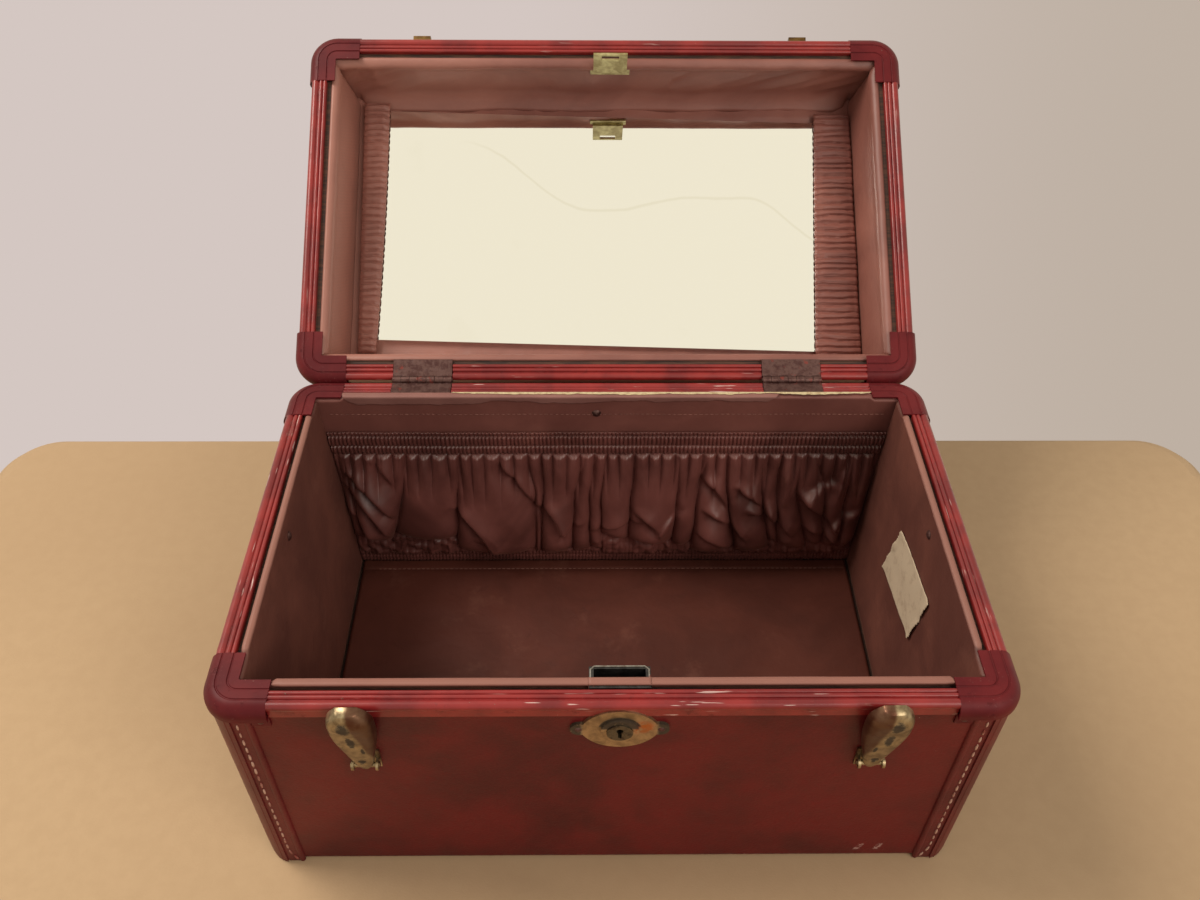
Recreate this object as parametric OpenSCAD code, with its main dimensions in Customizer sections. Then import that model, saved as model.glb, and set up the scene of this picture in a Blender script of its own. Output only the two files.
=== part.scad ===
// Cosmetic train case: a lined hard case with a mirror lid, shown open on its stop.
// Frame: +Z up, the case stands on z = 0, the front faces -Y, x runs left to right.
// The origin is the centre of the footprint. The lid is built closed and then swung open.

/* [Case] */
// Width over the metal frame
frame_w = 340; // [300:2:380]
// Depth over the metal frame
frame_d = 205; // [180:1:240]
// Height from the table to the mating plane
body_h = 139; // [125:1:170]
// Height of the closed lid above the mating plane
lid_h = 50; // [46:1:70]
// Thickness of the base walls
wall_t = 5; // [4:0.5:6]
// Thickness of the lid walls
lid_wall_t = 4; // [3:0.5:5]
// Radius of the upright corners over the frame
corner_r = 14; // [13.8:0.2:18]
// Radius where the left and right walls roll into the bottom and the lid top
edge_r = 13; // [9:1:18]
// Radius where the front and rear walls meet the bottom and the lid top
fold_r = 3.5; // [2:0.5:6]
// Distance the covered wall lies inside the frame
wall_inset = 1.2; // [1:0.1:2]

/* [Lid swing] */
// Angle at which the open lid rests on its stop
open_angle = 145; // [140:1:150]
// Gap between the closed corner caps
mate_gap = 0.3; // [0.2:0.05:0.6]
// Gap between the caps that stop the open lid
stop_gap = 0.3; // [0.2:0.05:0.6]

/* [Frame rail] */
// Width of the beaded rail
rail_w = 8.7; // [8:0.1:11]
// Radius of the outer bead
bead_r = 2.2; // [1.8:0.1:2.6]
// Height of the rail above the wall edge
rail_t = 3; // [2.6:0.1:4]
// Depth of the skirt that covers the wall edge
rail_skirt = 8; // [6:0.5:12]
// How far the skirt's face lies inside the bead
skirt_inset = 0.5; // [0.3:0.1:0.7]
// How far the rail lies below the cap
rail_drop = 0.35; // [0.2:0.05:0.6]

/* [Corner cap] */
// Length of a cap leg from the outer corner
cap_leg = 27; // [24:1:36]
// Distance the cap stands proud of the rail
cap_proud = 2.2; // [2.1:0.1:2.6]
// Rounding of the cap from its top to its side
cap_r = 6.5; // [5.5:0.1:7]
// Depth of the cap's side
cap_skirt = 8.5; // [8:0.5:12]
// Width of the cap's top inside the frame
cap_reach = 13.4; // [12:0.1:13.6]
// Thickness of the pressed cap
cap_sheet = 1; // [0.8:0.1:1.2]
// Radius of the two pressed grooves
cap_groove_r = 0.5; // [0.3:0.05:0.7]
// Width of the riveted tab
tab_w = 8; // [6:0.5:9]
// Drop of the riveted tab below the cap
tab_drop = 6; // [5:0.5:9]
// Radius of a rivet head
rivet_r = 1.6; // [1.2:0.1:2]

/* [Corner binding] */
// Distance the binding stands proud of the wall
binding_t = 2.2; // [1.4:0.1:2.3]
// Width of the full-thickness part on each wall
binding_flat = 9; // [8:0.5:10]
// Width of the whole binding on each wall
binding_w = 17.5; // [16:0.5:19]
// Thickness of the stitched channel
channel_t = 1; // [0.7:0.1:1.3]
// Radius of the ridge along the binding's inner edge
ridge_r = 1.5; // [1.2:0.1:1.8]

/* [Lining] */
// Width of the dark channel between the rail and the lining
channel_w = 2.6; // [2:0.1:3.5]
// Thickness of the lining boards
board_t = 3; // [2:0.1:4]
// Height of the lining lip above the mating plane
lip_rise = 0.8; // [0.4:0.1:1.5]
// Depth of the lid lining below its mating plane
lid_lip_drop = 2.5; // [2:0.1:4]
// Inward lean of the side linings
side_lean = 2.2; // [1:0.1:3]
// Lean of the lid's side linings
lid_side_lean = 7; // [4:0.5:8]
// Thickness of the floor pad
pad_t = 3; // [2:0.5:5]
// Gap between the floor pad and the linings
pad_gap = 1; // [0.5:0.5:3]
// Height of the batten ring
batten_h = 14; // [10:1:18]

/* [Gathered pocket] */
// Height of the pocket's top edge below the mating plane
pocket_below = 23; // [18:1:40]
// Height of the top elastic band
top_band_h = 17; // [10:1:22]
// Height of the bottom elastic band
low_band_h = 10; // [6:1:16]
// Thickness of the bands
band_t = 4; // [3:0.5:6]
// Largest stand of the pouch off the rear lining
pouch_depth = 17; // [12:1:24]
// Number of gathers along a band
band_gathers = 76; // [40:2:90]
// Number of main folds across the pouch
pouch_folds = 15; // [9:1:20]

/* [Mirror] */
// Distance of the mirror glass from the lid's side linings
mirror_side_gap = 12.1; // [12.1:0.5:40.1]
// Height of the mirror glass
mirror_h = 146; // [120:1:150]
// Thickness of the glass
mirror_t = 3; // [2:0.5:4]
// Thickness of the board behind the mirror
mirror_board_t = 2; // [1.5:0.5:3]
// Angle by which the mirror has slipped in its pockets
mirror_slip = 1.6; // [0:0.1:2]
// Width of a shirred mirror pocket
shirr_w = 19.5; // [14:0.5:24]
// Thickness of a shirred mirror pocket
shirr_t = 4.5; // [3:0.5:6]
// Number of ribs in a shirred pocket
shirr_ribs = 34; // [24:1:44]

/* [Hinges] */
// Distance of a hinge's middle from the end of the case
hinge_inset = 69; // [50:1:90]
// Width of a hinge
hinge_w = 32; // [28:1:40]
// Thickness of a hinge leaf
leaf_t = 1.2; // [1:0.1:1.4]
// Radius of the hinge barrel
barrel_r = 2.2; // [2:0.1:2.4]
// Radius of the hinge pin
hinge_pin_r = 1.1; // [0.9:0.1:1.3]
// Number of knuckles in a hinge
knuckles = 7; // [5:2:9]

/* [Latches] */
// Distance of a latch from the end of the case, before the fittings' sideways place
latch_inset = 60; // [45:1:80]
// Height of the latch pivot below the mating plane
latch_below = 42; // [38:1:50]
// Length of the lever above its pivot
lever_len = 51; // [48:1:60]
// Angle the released lever leans out
latch_lean = 5.5; // [5:0.5:8]
// Depth of the lever at its top
lever_depth = 7.7; // [7:0.1:11]
// Half width of the lever at its widest
lever_half_w = 10.2; // [9:0.1:12]
// Radius of the latch pivot pin
latch_pin_r = 1.2; // [1:0.1:1.5]

/* [Lock] */
// Sideways place of the lock, catch and latches from the middle
fittings_x = 2.5; // [-4:0.5:4]
// Height of the lock plug below the mating plane
lock_below = 17.5; // [16:0.5:22]
// Radius of the lock plug
plug_r = 5.6; // [5:0.1:6.5]
// Width of the lock case
lock_case_w = 26; // [24:1:30]
// Height of the lock case
lock_case_h = 29; // [26:1:34]
// Width of the socket for the hasp
socket_w = 22; // [20:1:24]
// Travel of the lock bolt
bolt_travel = 4; // [3:0.5:4]
// Width of the hasp
hasp_w = 19.5; // [16:0.5:20]
// How far the hasp reaches below the lid's mating plane
hasp_drop = 10; // [9:0.5:12]

/* [Handle] */
// Distance of a handle pivot from the middle
handle_x = 52; // [40:1:60]
// Height of the handle pivot above the lid
handle_pivot_h = 8; // [7:0.5:10]
// Drop from the pivot to the middle of the grip
handle_drop = 27; // [24:1:36]
// Radius of the handle core
handle_r = 6; // [5:0.5:7]
// Radius of the padded grip
grip_r = 7.2; // [6:0.1:8]
// Radius of the handle pivot pin
handle_pin_r = 2; // [1.5:0.1:2.5]

/* [Hidden] */
$fn = 48;

// Side angles about the vertical axis: a side is built at the front and turned to its place
FRONT = 0;
RIGHT = 90;
REAR = 180;
LEFT = 270;

eps = 0.01;
running = 0.06;
slide_gap = 0.2;
half_w = frame_w / 2;
half_d = frame_d / 2;
hinge_x = half_w - hinge_inset;
latch_x = half_w - latch_inset;

// Hinge axis: set so that the round shoulders of the caps meet at the open angle
cap_touch = (cap_r + stop_gap / 2 - (cap_r + mate_gap / 2) * cos(open_angle / 2)) / sin(open_angle / 2);
hinge_y = half_d + cap_proud - cap_r + cap_touch;
hinge_z = body_h + mate_gap / 2;
lid_top_z = hinge_z + mate_gap / 2 + lid_h;

// Distances inward from the rail's outer face
lip_u = rail_w + channel_w;
inner_u = lip_u + board_t;
wall_in_u = wall_inset + wall_t;
lid_wall_in_u = wall_inset + lid_wall_t;

rail_top_z = body_h - rail_drop;
wall_top = rail_top_z - rail_t;
floor_z = wall_t;
inner_half_w = half_w - inner_u;
inner_half_d = half_d - inner_u;
rear_face_y = inner_half_d;
front_wall_y = -half_d + wall_inset;

// Half width between the leaning side linings at a height
function lining_half_w(z) = inner_half_w - (body_h - z) * tan(side_lean);

module rounded_plan(w, d, r) {
    square([w - 2 * r, d], center = true);
    square([w, d - 2 * r], center = true);
    for (x = [-1, 1], y = [-1, 1])
        translate([x * (w / 2 - r), y * (d / 2 - r)]) circle(r = r);
}

// Upright profile of a tray, rounded where the walls meet the bottom
module tray_profile(w, h, r) {
    translate([-w / 2, r]) square([w, h - r]);
    translate([-w / 2 + r, 0]) square([w - 2 * r, h]);
    for (x = [-1, 1])
        translate([x * (w / 2 - r), r]) circle(r = r);
}

// Solid outer form of a tray: its plan, side and end profiles meet in one solid
module tray_solid(h, grow, r_side, r_fold) {
    w = frame_w - 2 * wall_inset + 2 * grow;
    d = frame_d - 2 * wall_inset + 2 * grow;
    intersection() {
        linear_extrude(h) rounded_plan(w, d, corner_r - wall_inset + grow);
        translate([0, d / 2 + 1, 0]) rotate([90, 0, 0]) linear_extrude(d + 2) tray_profile(w, h, r_side);
        translate([-w / 2 - 1, 0, 0]) rotate([90, 0, 90]) linear_extrude(w + 2) tray_profile(d, h, r_fold);
    }
}

module tray(h, t) {
    difference() {
        tray_solid(h, 0, edge_r, fold_r);
        translate([0, 0, t]) tray_solid(h, -t, max(edge_r - t, 2), max(fold_r - t, 0.8));
    }
}

// Turns a closed lid open about the hinge axis
module swing_open() {
    translate([0, hinge_y, hinge_z]) rotate([-open_angle, 0, 0]) translate([0, -hinge_y, -hinge_z]) children();
}

// Reflects a body part in the mating plane to give the lid's part, still closed
module reflect_up() {
    translate([0, 0, 2 * hinge_z]) mirror([0, 0, 1]) children();
}

// Places children, built with x inward and y up, along one side of the frame
module along_side(side, x0, x1) {
    out = (side == FRONT || side == REAR) ? half_d : half_w;
    rotate([0, 0, side]) translate([x0, -out, 0]) rotate([90, 0, 90]) linear_extrude(x1 - x0) children();
}

// Frame rails

rib_r = (rail_w - 2 * bead_r) / 4;

// One large outer bead, two ribs, and a skirt down over the wall edge
module rail_section() {
    difference() {
        union() {
            translate([bead_r, -bead_r]) circle(r = bead_r);
            for (i = [1, 3])
                translate([2 * bead_r + i * rib_r, -rib_r]) circle(r = rib_r);
            translate([skirt_inset, -rail_skirt]) square([rail_w - skirt_inset, rail_skirt - rib_r]);
        }
        translate([wall_inset, -rail_skirt - 1]) square([rail_w, rail_skirt + 1 - rail_t]);
    }
}

module rail(side, x0, x1) {
    translate([0, 0, rail_top_z]) along_side(side, x0, x1) rail_section();
}

module long_rail() {
    rail(FRONT, -half_w + cap_leg, half_w - cap_leg);
}

module side_rail(side) {
    rail(side, -half_d + cap_leg, half_d - cap_leg);
}

// The rear rail is cut at both hinges
module hinged_rail() {
    gap = hinge_w / 2 + mate_gap;
    rail(REAR, -half_w + cap_leg, -hinge_x - gap);
    rail(REAR, -hinge_x + gap, hinge_x - gap);
    rail(REAR, hinge_x + gap, half_w - cap_leg);
}

// Corner caps

// Cap section in distance inward and height below the mating plane; shrink gives its inside
module cap_form(shrink) {
    r = cap_r - shrink;
    u0 = -cap_proud + shrink;
    translate([u0 + r, -cap_skirt]) square([cap_reach - u0 - r, cap_skirt - shrink]);
    translate([u0, -cap_skirt]) square([r, cap_skirt - cap_r]);
    intersection() {
        translate([u0 + r, -cap_r]) circle(r = r);
        translate([u0, -cap_r]) square(r);
    }
}

module cap_section() {
    difference() {
        cap_form(0);
        cap_form(cap_sheet);
        translate([-cap_proud + cap_sheet, -cap_skirt - 1]) square([cap_reach + cap_proud, 1 + cap_sheet]);
        translate([cap_reach - cap_sheet, -cap_skirt - 1]) square([2 * cap_sheet, cap_skirt + 1 - cap_sheet]);
        for (u = [rail_w - 4.9, rail_w])
            translate([u, 0]) circle(r = cap_groove_r);
    }
}

// Tab that is riveted to the wall at the end of each leg
module cap_tab() {
    step = 1;
    translate([cap_leg - corner_r - tab_w, 0, 0]) {
        translate([0, -corner_r - cap_proud, -cap_skirt]) cube([tab_w, cap_proud + wall_inset, step]);
        translate([0, -corner_r + wall_inset - cap_sheet, -cap_skirt - tab_drop])
            cube([tab_w, cap_sheet, tab_drop + step]);
    }
}

// A cap for the corner at the front left, with the corner's centre of curvature at the origin
module cap_at_origin() {
    rotate([0, 0, 180]) rotate_extrude(angle = 90) translate([corner_r, 0]) mirror([1, 0]) cap_section();
    leg = cap_leg - corner_r;
    for (turn = [0, 1])
        mirror([turn, -turn, 0]) {
            translate([0, -corner_r, 0]) rotate([90, 0, 90]) linear_extrude(leg) cap_section();
            cap_tab();
        }
}

// Signs of the four corners: left is -1 in x, front is -1 in y
module at_corner(x_sign, y_sign) {
    translate([x_sign * (half_w - corner_r), y_sign * (half_d - corner_r), body_h])
        mirror([x_sign > 0 ? 1 : 0, 0, 0]) mirror([0, y_sign > 0 ? 1 : 0, 0]) children();
}

module cap(x_sign, y_sign) {
    at_corner(x_sign, y_sign) cap_at_origin();
}

// Low domed head on its flat seat, pointing up
module rivet_head(r) {
    dome = r * 0.45;
    ball = (r * r + dome * dome) / (2 * dome);
    intersection() {
        translate([0, 0, dome - ball]) sphere(r = ball);
        cylinder(r = r, h = dome);
    }
}

module cap_rivets() {
    for (x_sign = [-1, 1], y_sign = [-1, 1])
        at_corner(x_sign, y_sign)
            for (turn = [0, 1])
                mirror([turn, -turn, 0])
                    translate([cap_leg - corner_r - tab_w / 2, -corner_r + wall_inset - cap_sheet,
                               -cap_skirt - tab_drop / 2])
                        rotate([90, 0, 0]) rivet_head(rivet_r);
}

// Stitched corner bindings

// Part of a disc whose points lie below a limit in both x and y
module quarter(r, limit) {
    intersection() {
        circle(r = r);
        translate([-2 * r, -2 * r]) square(2 * r + limit);
    }
}

// Plan of one binding at a corner whose centre of curvature is at the origin, front left
module binding_plan(filled) {
    r = corner_r - wall_inset;
    flat = binding_flat - r;
    reach = binding_w - r;
    difference() {
        union() {
            quarter(r + channel_t, 0);
            quarter(r + binding_t, min(flat, 0));
            for (turn = [0, 1])
                mirror([turn, -turn]) {
                    if (flat > 0) translate([-eps, -r - binding_t]) square([flat + eps, binding_t + 1]);
                    translate([-r / 2, -r - channel_t]) square([r / 2 + reach - ridge_r, channel_t + 1]);
                    translate([reach - ridge_r, -r]) circle(r = ridge_r);
                }
        }
        if (!filled) circle(r = r);
        for (turn = [0, 1])
            mirror([turn, -turn]) translate([0, -r]) square([2 * r + reach, 2 * r]);
    }
}

binding_top = body_h - cap_r - slide_gap;
binding_foot = 0.8;

// Upright outline of a side, rolled under at the bottom
module roll_outline(grow, h) {
    translate([-half_w + wall_inset + edge_r, edge_r]) circle(r = edge_r + grow);
    translate([-half_w + wall_inset - grow, edge_r]) square([2 * binding_w, h]);
}

// One binding at the front left, from under the cap down round the rolled bottom edge
module corner_binding(top) {
    intersection() {
        translate([-half_w + corner_r, -half_d + corner_r, binding_foot])
            linear_extrude(top - binding_foot) binding_plan(false);
        rotate([90, 0, 0]) linear_extrude(frame_d + 2 * binding_t, center = true) roll_outline(binding_t, top);
    }
    roll_deep = binding_w + corner_r;
    intersection() {
        translate([-half_w + wall_inset + edge_r, -half_d + wall_inset + roll_deep / 2, edge_r])
            rotate([90, 0, 0]) linear_extrude(roll_deep, center = true)
                difference() {
                    circle(r = edge_r + binding_t);
                    circle(r = edge_r);
                    translate([0, -2 * edge_r]) square(4 * edge_r);
                    translate([-2 * edge_r, 0]) square(4 * edge_r);
                }
        translate([-half_w - binding_t, -half_d + corner_r, binding_foot])
            cube([edge_r, binding_w - corner_r + wall_inset, edge_r]);
    }
}

module binding_set(top) {
    for (x_sign = [0, 1], y_sign = [0, 1])
        mirror([x_sign, 0, 0]) mirror([0, y_sign, 0]) corner_binding(top);
}

// Hinges

knuckle_pitch = hinge_w / knuckles;
knuckle_gap = 0.2;
leaf_top_z = hinge_z - mate_gap / 2;
leaf_in_y = half_d - lip_u + slide_gap;
barrel_clear = 0.3;

// Knuckle solid between two places along the hinge
module knuckle(i) {
    translate([-hinge_w / 2 + i * knuckle_pitch + knuckle_gap / 2, hinge_y, hinge_z])
        rotate([0, 90, 0]) cylinder(r = barrel_r, h = knuckle_pitch - knuckle_gap);
}

// One leaf of a hinge at the middle; first is the number of its first knuckle
module leaf(first) {
    difference() {
        union() {
            translate([-hinge_w / 2, leaf_in_y, leaf_top_z - leaf_t])
                cube([hinge_w, hinge_y - barrel_r - barrel_clear - leaf_in_y, leaf_t]);
            for (i = [first : 2 : knuckles - 1]) {
                knuckle(i);
                translate([-hinge_w / 2 + i * knuckle_pitch + knuckle_gap / 2,
                           hinge_y - barrel_r - barrel_clear - eps, leaf_top_z - leaf_t])
                    cube([knuckle_pitch - knuckle_gap, barrel_r + barrel_clear, leaf_t]);
            }
        }
        translate([-hinge_w / 2 - 1, hinge_y, hinge_z]) rotate([0, 90, 0])
            cylinder(r = hinge_pin_r + running, h = hinge_w + 2);
    }
}

module both_hinges() {
    for (x = [-hinge_x, hinge_x])
        translate([x, 0, 0]) children();
}

// Batten ring

// Timber ring between the wall and the lining, with a raised seat under each hinge leaf
module batten(in_u) {
    seat_rear_y = hinge_y - barrel_r - barrel_clear;
    difference() {
        translate([0, 0, wall_top - batten_h]) linear_extrude(batten_h)
            difference() {
                rounded_plan(frame_w - 2 * in_u, frame_d - 2 * in_u, max(corner_r - in_u, 2));
                square([frame_w - 2 * lip_u, frame_d - 2 * lip_u], center = true);
            }
        translate([fittings_x, -half_d + in_u, wall_top - batten_h / 2])
            cube([lock_case_w + 2 * slide_gap, 4 * lip_u, batten_h + 2], center = true);
    }
    both_hinges()
        translate([-hinge_w / 2, leaf_in_y, wall_top])
            cube([hinge_w, seat_rear_y - leaf_in_y, leaf_top_z - leaf_t - wall_top]);
}

// Linings

lock_x0 = fittings_x - lock_case_w / 2;
// The long boards clear the rolled bottom edge at their ends
roll_in = max(edge_r - wall_t, 2);
roll_over = max(wall_in_u + roll_in - lip_u, 0);
board_bottom = floor_z + roll_in - sqrt(roll_in * roll_in - roll_over * roll_over) + eps;
corner_low_z = body_h - cap_sheet - 0.3;

// A front or rear board: its lip is high between the caps and low under them
module long_board(top_z, low_z, bottom_z) {
    span = 2 * (half_w - lip_u);
    translate([-span / 2, 0, bottom_z]) cube([span, board_t, low_z - bottom_z]);
    translate([-half_w + cap_leg, 0, bottom_z]) cube([frame_w - 2 * cap_leg, board_t, top_z - bottom_z]);
}

// A side board that leans about its top inner edge; it stands between the long boards
module side_board(top_z, low_z, bottom_z, lean, leg) {
    long = 2 * inner_half_d - 2 * slide_gap;
    drop = top_z - bottom_z;
    intersection() {
        translate([0, 0, top_z]) rotate([0, lean, 0]) {
            translate([0, -long / 2, -2 * drop]) cube([board_t, long, 2 * drop - (top_z - low_z)]);
            translate([0, -half_d + leg, -2 * drop]) cube([board_t, frame_d - 2 * leg, 2 * drop]);
        }
        translate([-inner_half_w, -long / 2, bottom_z]) cube([frame_w, long, drop]);
    }
}

// Soft parts

// A band of gathers along x: a rippled front on a flat back, as a plan to be extruded
module gathered_plan(len, count, deep, ripple) {
    n = 2 * count;
    front = [for (i = [0 : n]) [-len / 2 + len * i / n, -deep + (i % 2) * ripple]];
    polygon(concat(front, [[len / 2, 0], [-len / 2, 0]]));
}

pocket_top = body_h - pocket_below;
pouch_top = pocket_top - top_band_h;
pouch_low = floor_z + pad_t + low_band_h;
pouch_points = 90;

// How far the pouch stands off the lining along x: irregular hanging folds
function fold_wave(x) =
    0.5 * cos(x * pouch_folds * 360 + 55 * sin(x * 1100)) +
    0.3 * cos(x * pouch_folds * 640 + 120 + 90 * sin(x * 1500)) +
    0.2 * sin(x * pouch_folds * 210);
function pouch_stand(x) =
    let (side = min(1, 10 * x, 10 * (1 - x)))
    band_t + (pouch_depth - band_t) * side * (0.62 + 0.38 * fold_wave(x));

// The gathered cloth hangs in folds and is drawn in at both bands
module pouch() {
    wide = 2 * lining_half_w(pouch_low) - 2 * slide_gap;
    tall = pouch_top - pouch_low;
    front = [for (i = [0 : pouch_points]) [wide * (i / pouch_points - 0.5), -pouch_stand(i / pouch_points)]];
    belly = [for (i = [0 : 8]) [pouch_depth * pow(sin(22.5 * i), 0.5) * 0.8 + band_t - 0.6, tall * i / 8]];
    intersection() {
        translate([0, 0, pouch_low]) linear_extrude(tall)
            polygon(concat(front, [[wide / 2, 0], [-wide / 2, 0]]));
        translate([wide, 0, pouch_low]) rotate([90, 0, -90]) linear_extrude(2 * wide)
            polygon(concat([[0, 0]], belly, [[0, tall]]));
    }
}

// Lid interior levels, measured down from the lid's top
mirror_board_z = lid_top_z - lid_wall_t - mirror_board_t;
mirror_z = mirror_board_z - mirror_t;
lid_board_low = hinge_z + mate_gap / 2 + lid_lip_drop;
mirror_y = hinge_y - frame_d / 2 - 2;
lid_board_half_w = inner_half_w - (mirror_board_z - lid_board_low) * tan(lid_side_lean);
mirror_w = 2 * (lid_board_half_w - mirror_side_gap);

// A shirred pocket: ribs run across it and it laps over one end of the mirror
module shirred_pocket(x_sign) {
    len = 2 * inner_half_d - 14;
    outer = lid_board_half_w - 1.2;
    lap = outer - mirror_w / 2 - 2.5;
    n = 2 * shirr_ribs;
    ripple = 1.1;
    lapped = [for (i = [0 : n]) [-len / 2 + len * i / n, -shirr_t + (i % 2) * ripple]];
    translate([0, mirror_y, mirror_z])
        mirror([x_sign > 0 ? 0 : 1, 0, 0])
            translate([outer, 0, 0]) rotate([90, 0, -90]) {
                linear_extrude(shirr_w)
                    polygon(concat([for (p = lapped) [-p[0], p[1]]], [[-len / 2, -slide_gap], [len / 2, -slide_gap]]));
                linear_extrude(lap)
                    translate([-len / 2, -slide_gap - eps]) square([len, mirror_t + slide_gap]);
            }
}

// Lock

lock_z = body_h - lock_below;
socket_u0 = inner_u - 0.3;
socket_t = 4.4;
case_u1 = socket_u0 + socket_t + 1.2;
lock_case_top = body_h - 0.4;
bolt_z = body_h - 6.3;
bolt_half = 3.5;
bolt_h = 3;
bolt_tip_u = socket_u0 - 0.2;
bolt_len = 6;
hasp_t = 1.4;
hasp_u = socket_u0 + (socket_t - hasp_t) / 2;

// Moves children, built at the rail's outer face with y inward, to the front middle
module at_front(z) {
    translate([fittings_x, -half_d, z]) children();
}

module eye_plan() {
    half_long = 17;
    half_tall = 13.5;
    r = (half_long * half_long + half_tall * half_tall) / (2 * half_tall);
    intersection_for (s = [-1, 1])
        translate([0, s * (r - half_tall)]) circle(r = r);
    for (s = [-1, 1])
        translate([s * half_long, 0]) circle(r = 4);
}

ear_x = 17.6;

// Latches

latch_z = body_h - latch_below;
latch_pivot_y = front_wall_y - 3.2;
tail_half_w = 4;
lever_back = -1.2;
// The tail's heel is bevelled so that it clears its plate when the lever is flipped out
latch_flip = 60;
tail_clear = 1.9;

// Outline of the lever: round tail at the pivot, widest near its flat top
module lever_outline(tail, wide, top) {
    intersection() {
        hull() {
            circle(r = tail, $fn = 32);
            translate([0, top - wide * 1.05]) circle(r = wide, $fn = 32);
        }
        translate([-wide - 1, -tail - 1]) square([2 * wide + 2, tail + 1 + top]);
    }
}

// Lofted hood between its back outline and its smaller, leaning face
module lever_form(shrink, back, depth) {
    lean = 3.2;
    hull() {
        translate([0, -back, 0]) rotate([90, 0, 0]) linear_extrude(0.4)
            lever_outline(tail_half_w - shrink, lever_half_w - shrink, lever_len - shrink);
        translate([0, -lever_back - depth + 3.0, 0]) rotate([90 + lean, 0, 0]) linear_extrude(0.4)
            lever_outline(tail_half_w - 0.6 - shrink, lever_half_w - 2.6 - shrink, lever_len - 1.2 - shrink);
    }
}

// The lever stands upright here, with its pivot at the origin
module lever() {
    skin = 1.4;
    difference() {
        lever_form(0, lever_back, lever_depth);
        difference() {
            lever_form(skin, lever_back - 2, lever_depth - skin);
            translate([-lever_half_w, -20, -tail_half_w - 1]) cube([2 * lever_half_w, 40, tail_half_w + 8]);
        }
        translate([-lever_half_w, 0, 0]) rotate([0, 90, 0])
            cylinder(r = latch_pin_r + running, h = 2 * lever_half_w);
        translate([-lever_half_w, -lever_back - 0.01, -20]) cube([2 * lever_half_w, 10, 100]);
        rotate([-latch_flip - latch_lean, 0, 0])
            translate([-lever_half_w, tail_clear, -lever_len / 2])
                cube([2 * lever_half_w, lever_half_w, lever_len]);
    }
}

module place_latch(x_sign, lean) {
    translate([fittings_x + x_sign * latch_x, latch_pivot_y, latch_z]) rotate([lean, 0, 0]) children();
}

ear_t = 1.2;
ear_gap = 0.7;
ear_r = 2.6;
latch_plate_t = 1;
latch_plate_w = 12.8;
latch_plate_h = 13;
latch_plate_drop = 5.5;

// Base plate with two ears that carry the pivot pin
module latch_plate() {
    wall = front_wall_y - latch_pivot_y;
    difference() {
        union() {
            translate([0, wall, 0]) rotate([90, 0, 0]) linear_extrude(latch_plate_t)
                translate([-latch_plate_w / 2, -latch_plate_drop]) square([latch_plate_w, latch_plate_h]);
            for (s = [-1, 1])
                translate([s * (tail_half_w + ear_gap + ear_t / 2), 0, 0]) {
                    rotate([0, 90, 0]) cylinder(r = ear_r, h = ear_t, center = true);
                    translate([-ear_t / 2, 0, -ear_r]) cube([ear_t, wall, 2 * ear_r]);
                }
        }
        translate([-latch_plate_w, 0, 0]) rotate([0, 90, 0])
            cylinder(r = latch_pin_r + eps, h = 2 * latch_plate_w);
    }
}

// Handle

handle_turn = 180 - open_angle;
leg_r = handle_r;
bend_r = 13;
end_cap_h = 7;
lug_t = 5;
lug_r = 4.6;
post_gap = 0.3;
post_t = 2;
post_r = 4;
post_base_l = 18;
post_base_w = 16;
post_base_t = 0.8;

// Moves children from the handle pivot, pointing away from the lid, to their place
module at_handle(tilt) {
    translate([0, 0, lid_top_z + handle_pivot_h]) rotate([-tilt, 0, 0]) children();
}

module handle_core(r) {
    straight = handle_x - bend_r;
    for (s = [-1, 1])
        mirror([s > 0 ? 0 : 1, 0, 0]) {
            translate([handle_x, 0, lug_r]) cylinder(r = r, h = handle_drop - bend_r - lug_r);
            translate([straight, 0, handle_drop - bend_r]) rotate([90, 0, 0])
                rotate_extrude(angle = 90) translate([bend_r, 0]) circle(r = r);
        }
    translate([-straight, 0, handle_drop]) rotate([0, 90, 0]) cylinder(r = r, h = 2 * straight);
}

// Sub-parts of the base

module body_shell() {
    color("#7a2626") difference() {
        tray(wall_top, wall_t);
        at_front(lock_z) translate([0, wall_inset - 1, 0]) rotate([-90, 0, 0])
            cylinder(r = plug_r + running, h = wall_t + 2);
    }
}

module body_batten() {
    color("#4a3424") batten(wall_in_u);
}

module body_rail_front() {
    color("#a8322e") long_rail();
}

module body_rail_rear() {
    color("#a8322e") hinged_rail();
}

module body_rail_left() {
    color("#a8322e") side_rail(LEFT);
}

module body_rail_right() {
    color("#a8322e") side_rail(RIGHT);
}

module body_cap_front_left() {
    color("#7d2f30") cap(-1, -1);
}

module body_cap_front_right() {
    color("#7d2f30") cap(1, -1);
}

module body_cap_rear_left() {
    color("#7d2f30") cap(-1, 1);
}

module body_cap_rear_right() {
    color("#7d2f30") cap(1, 1);
}

module body_cap_rivets() {
    color("#5a4a48") cap_rivets();
}

module body_bindings() {
    color("#6e2424") binding_set(binding_top);
}

module front_lining() {
    color("#7b4f45") difference() {
        translate([0, -half_d + lip_u, 0]) long_board(body_h + lip_rise, corner_low_z, board_bottom);
        translate([lock_x0 - slide_gap, -half_d + lip_u - 1, lock_case_top - lock_case_h - slide_gap])
            cube([lock_case_w + 2 * slide_gap, board_t + 2, lock_case_h + 10]);
    }
}

module rear_lining() {
    color("#7b4f45") translate([0, rear_face_y, 0]) long_board(body_h + lip_rise, corner_low_z, board_bottom);
}

module left_lining() {
    color("#7b4f45") mirror([1, 0, 0]) right_board();
}

module right_lining() {
    color("#7b4f45") right_board();
}

module right_board() {
    translate([inner_half_w, 0, 0]) side_board(body_h + lip_rise, corner_low_z, board_bottom, side_lean, cap_leg);
}

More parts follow.
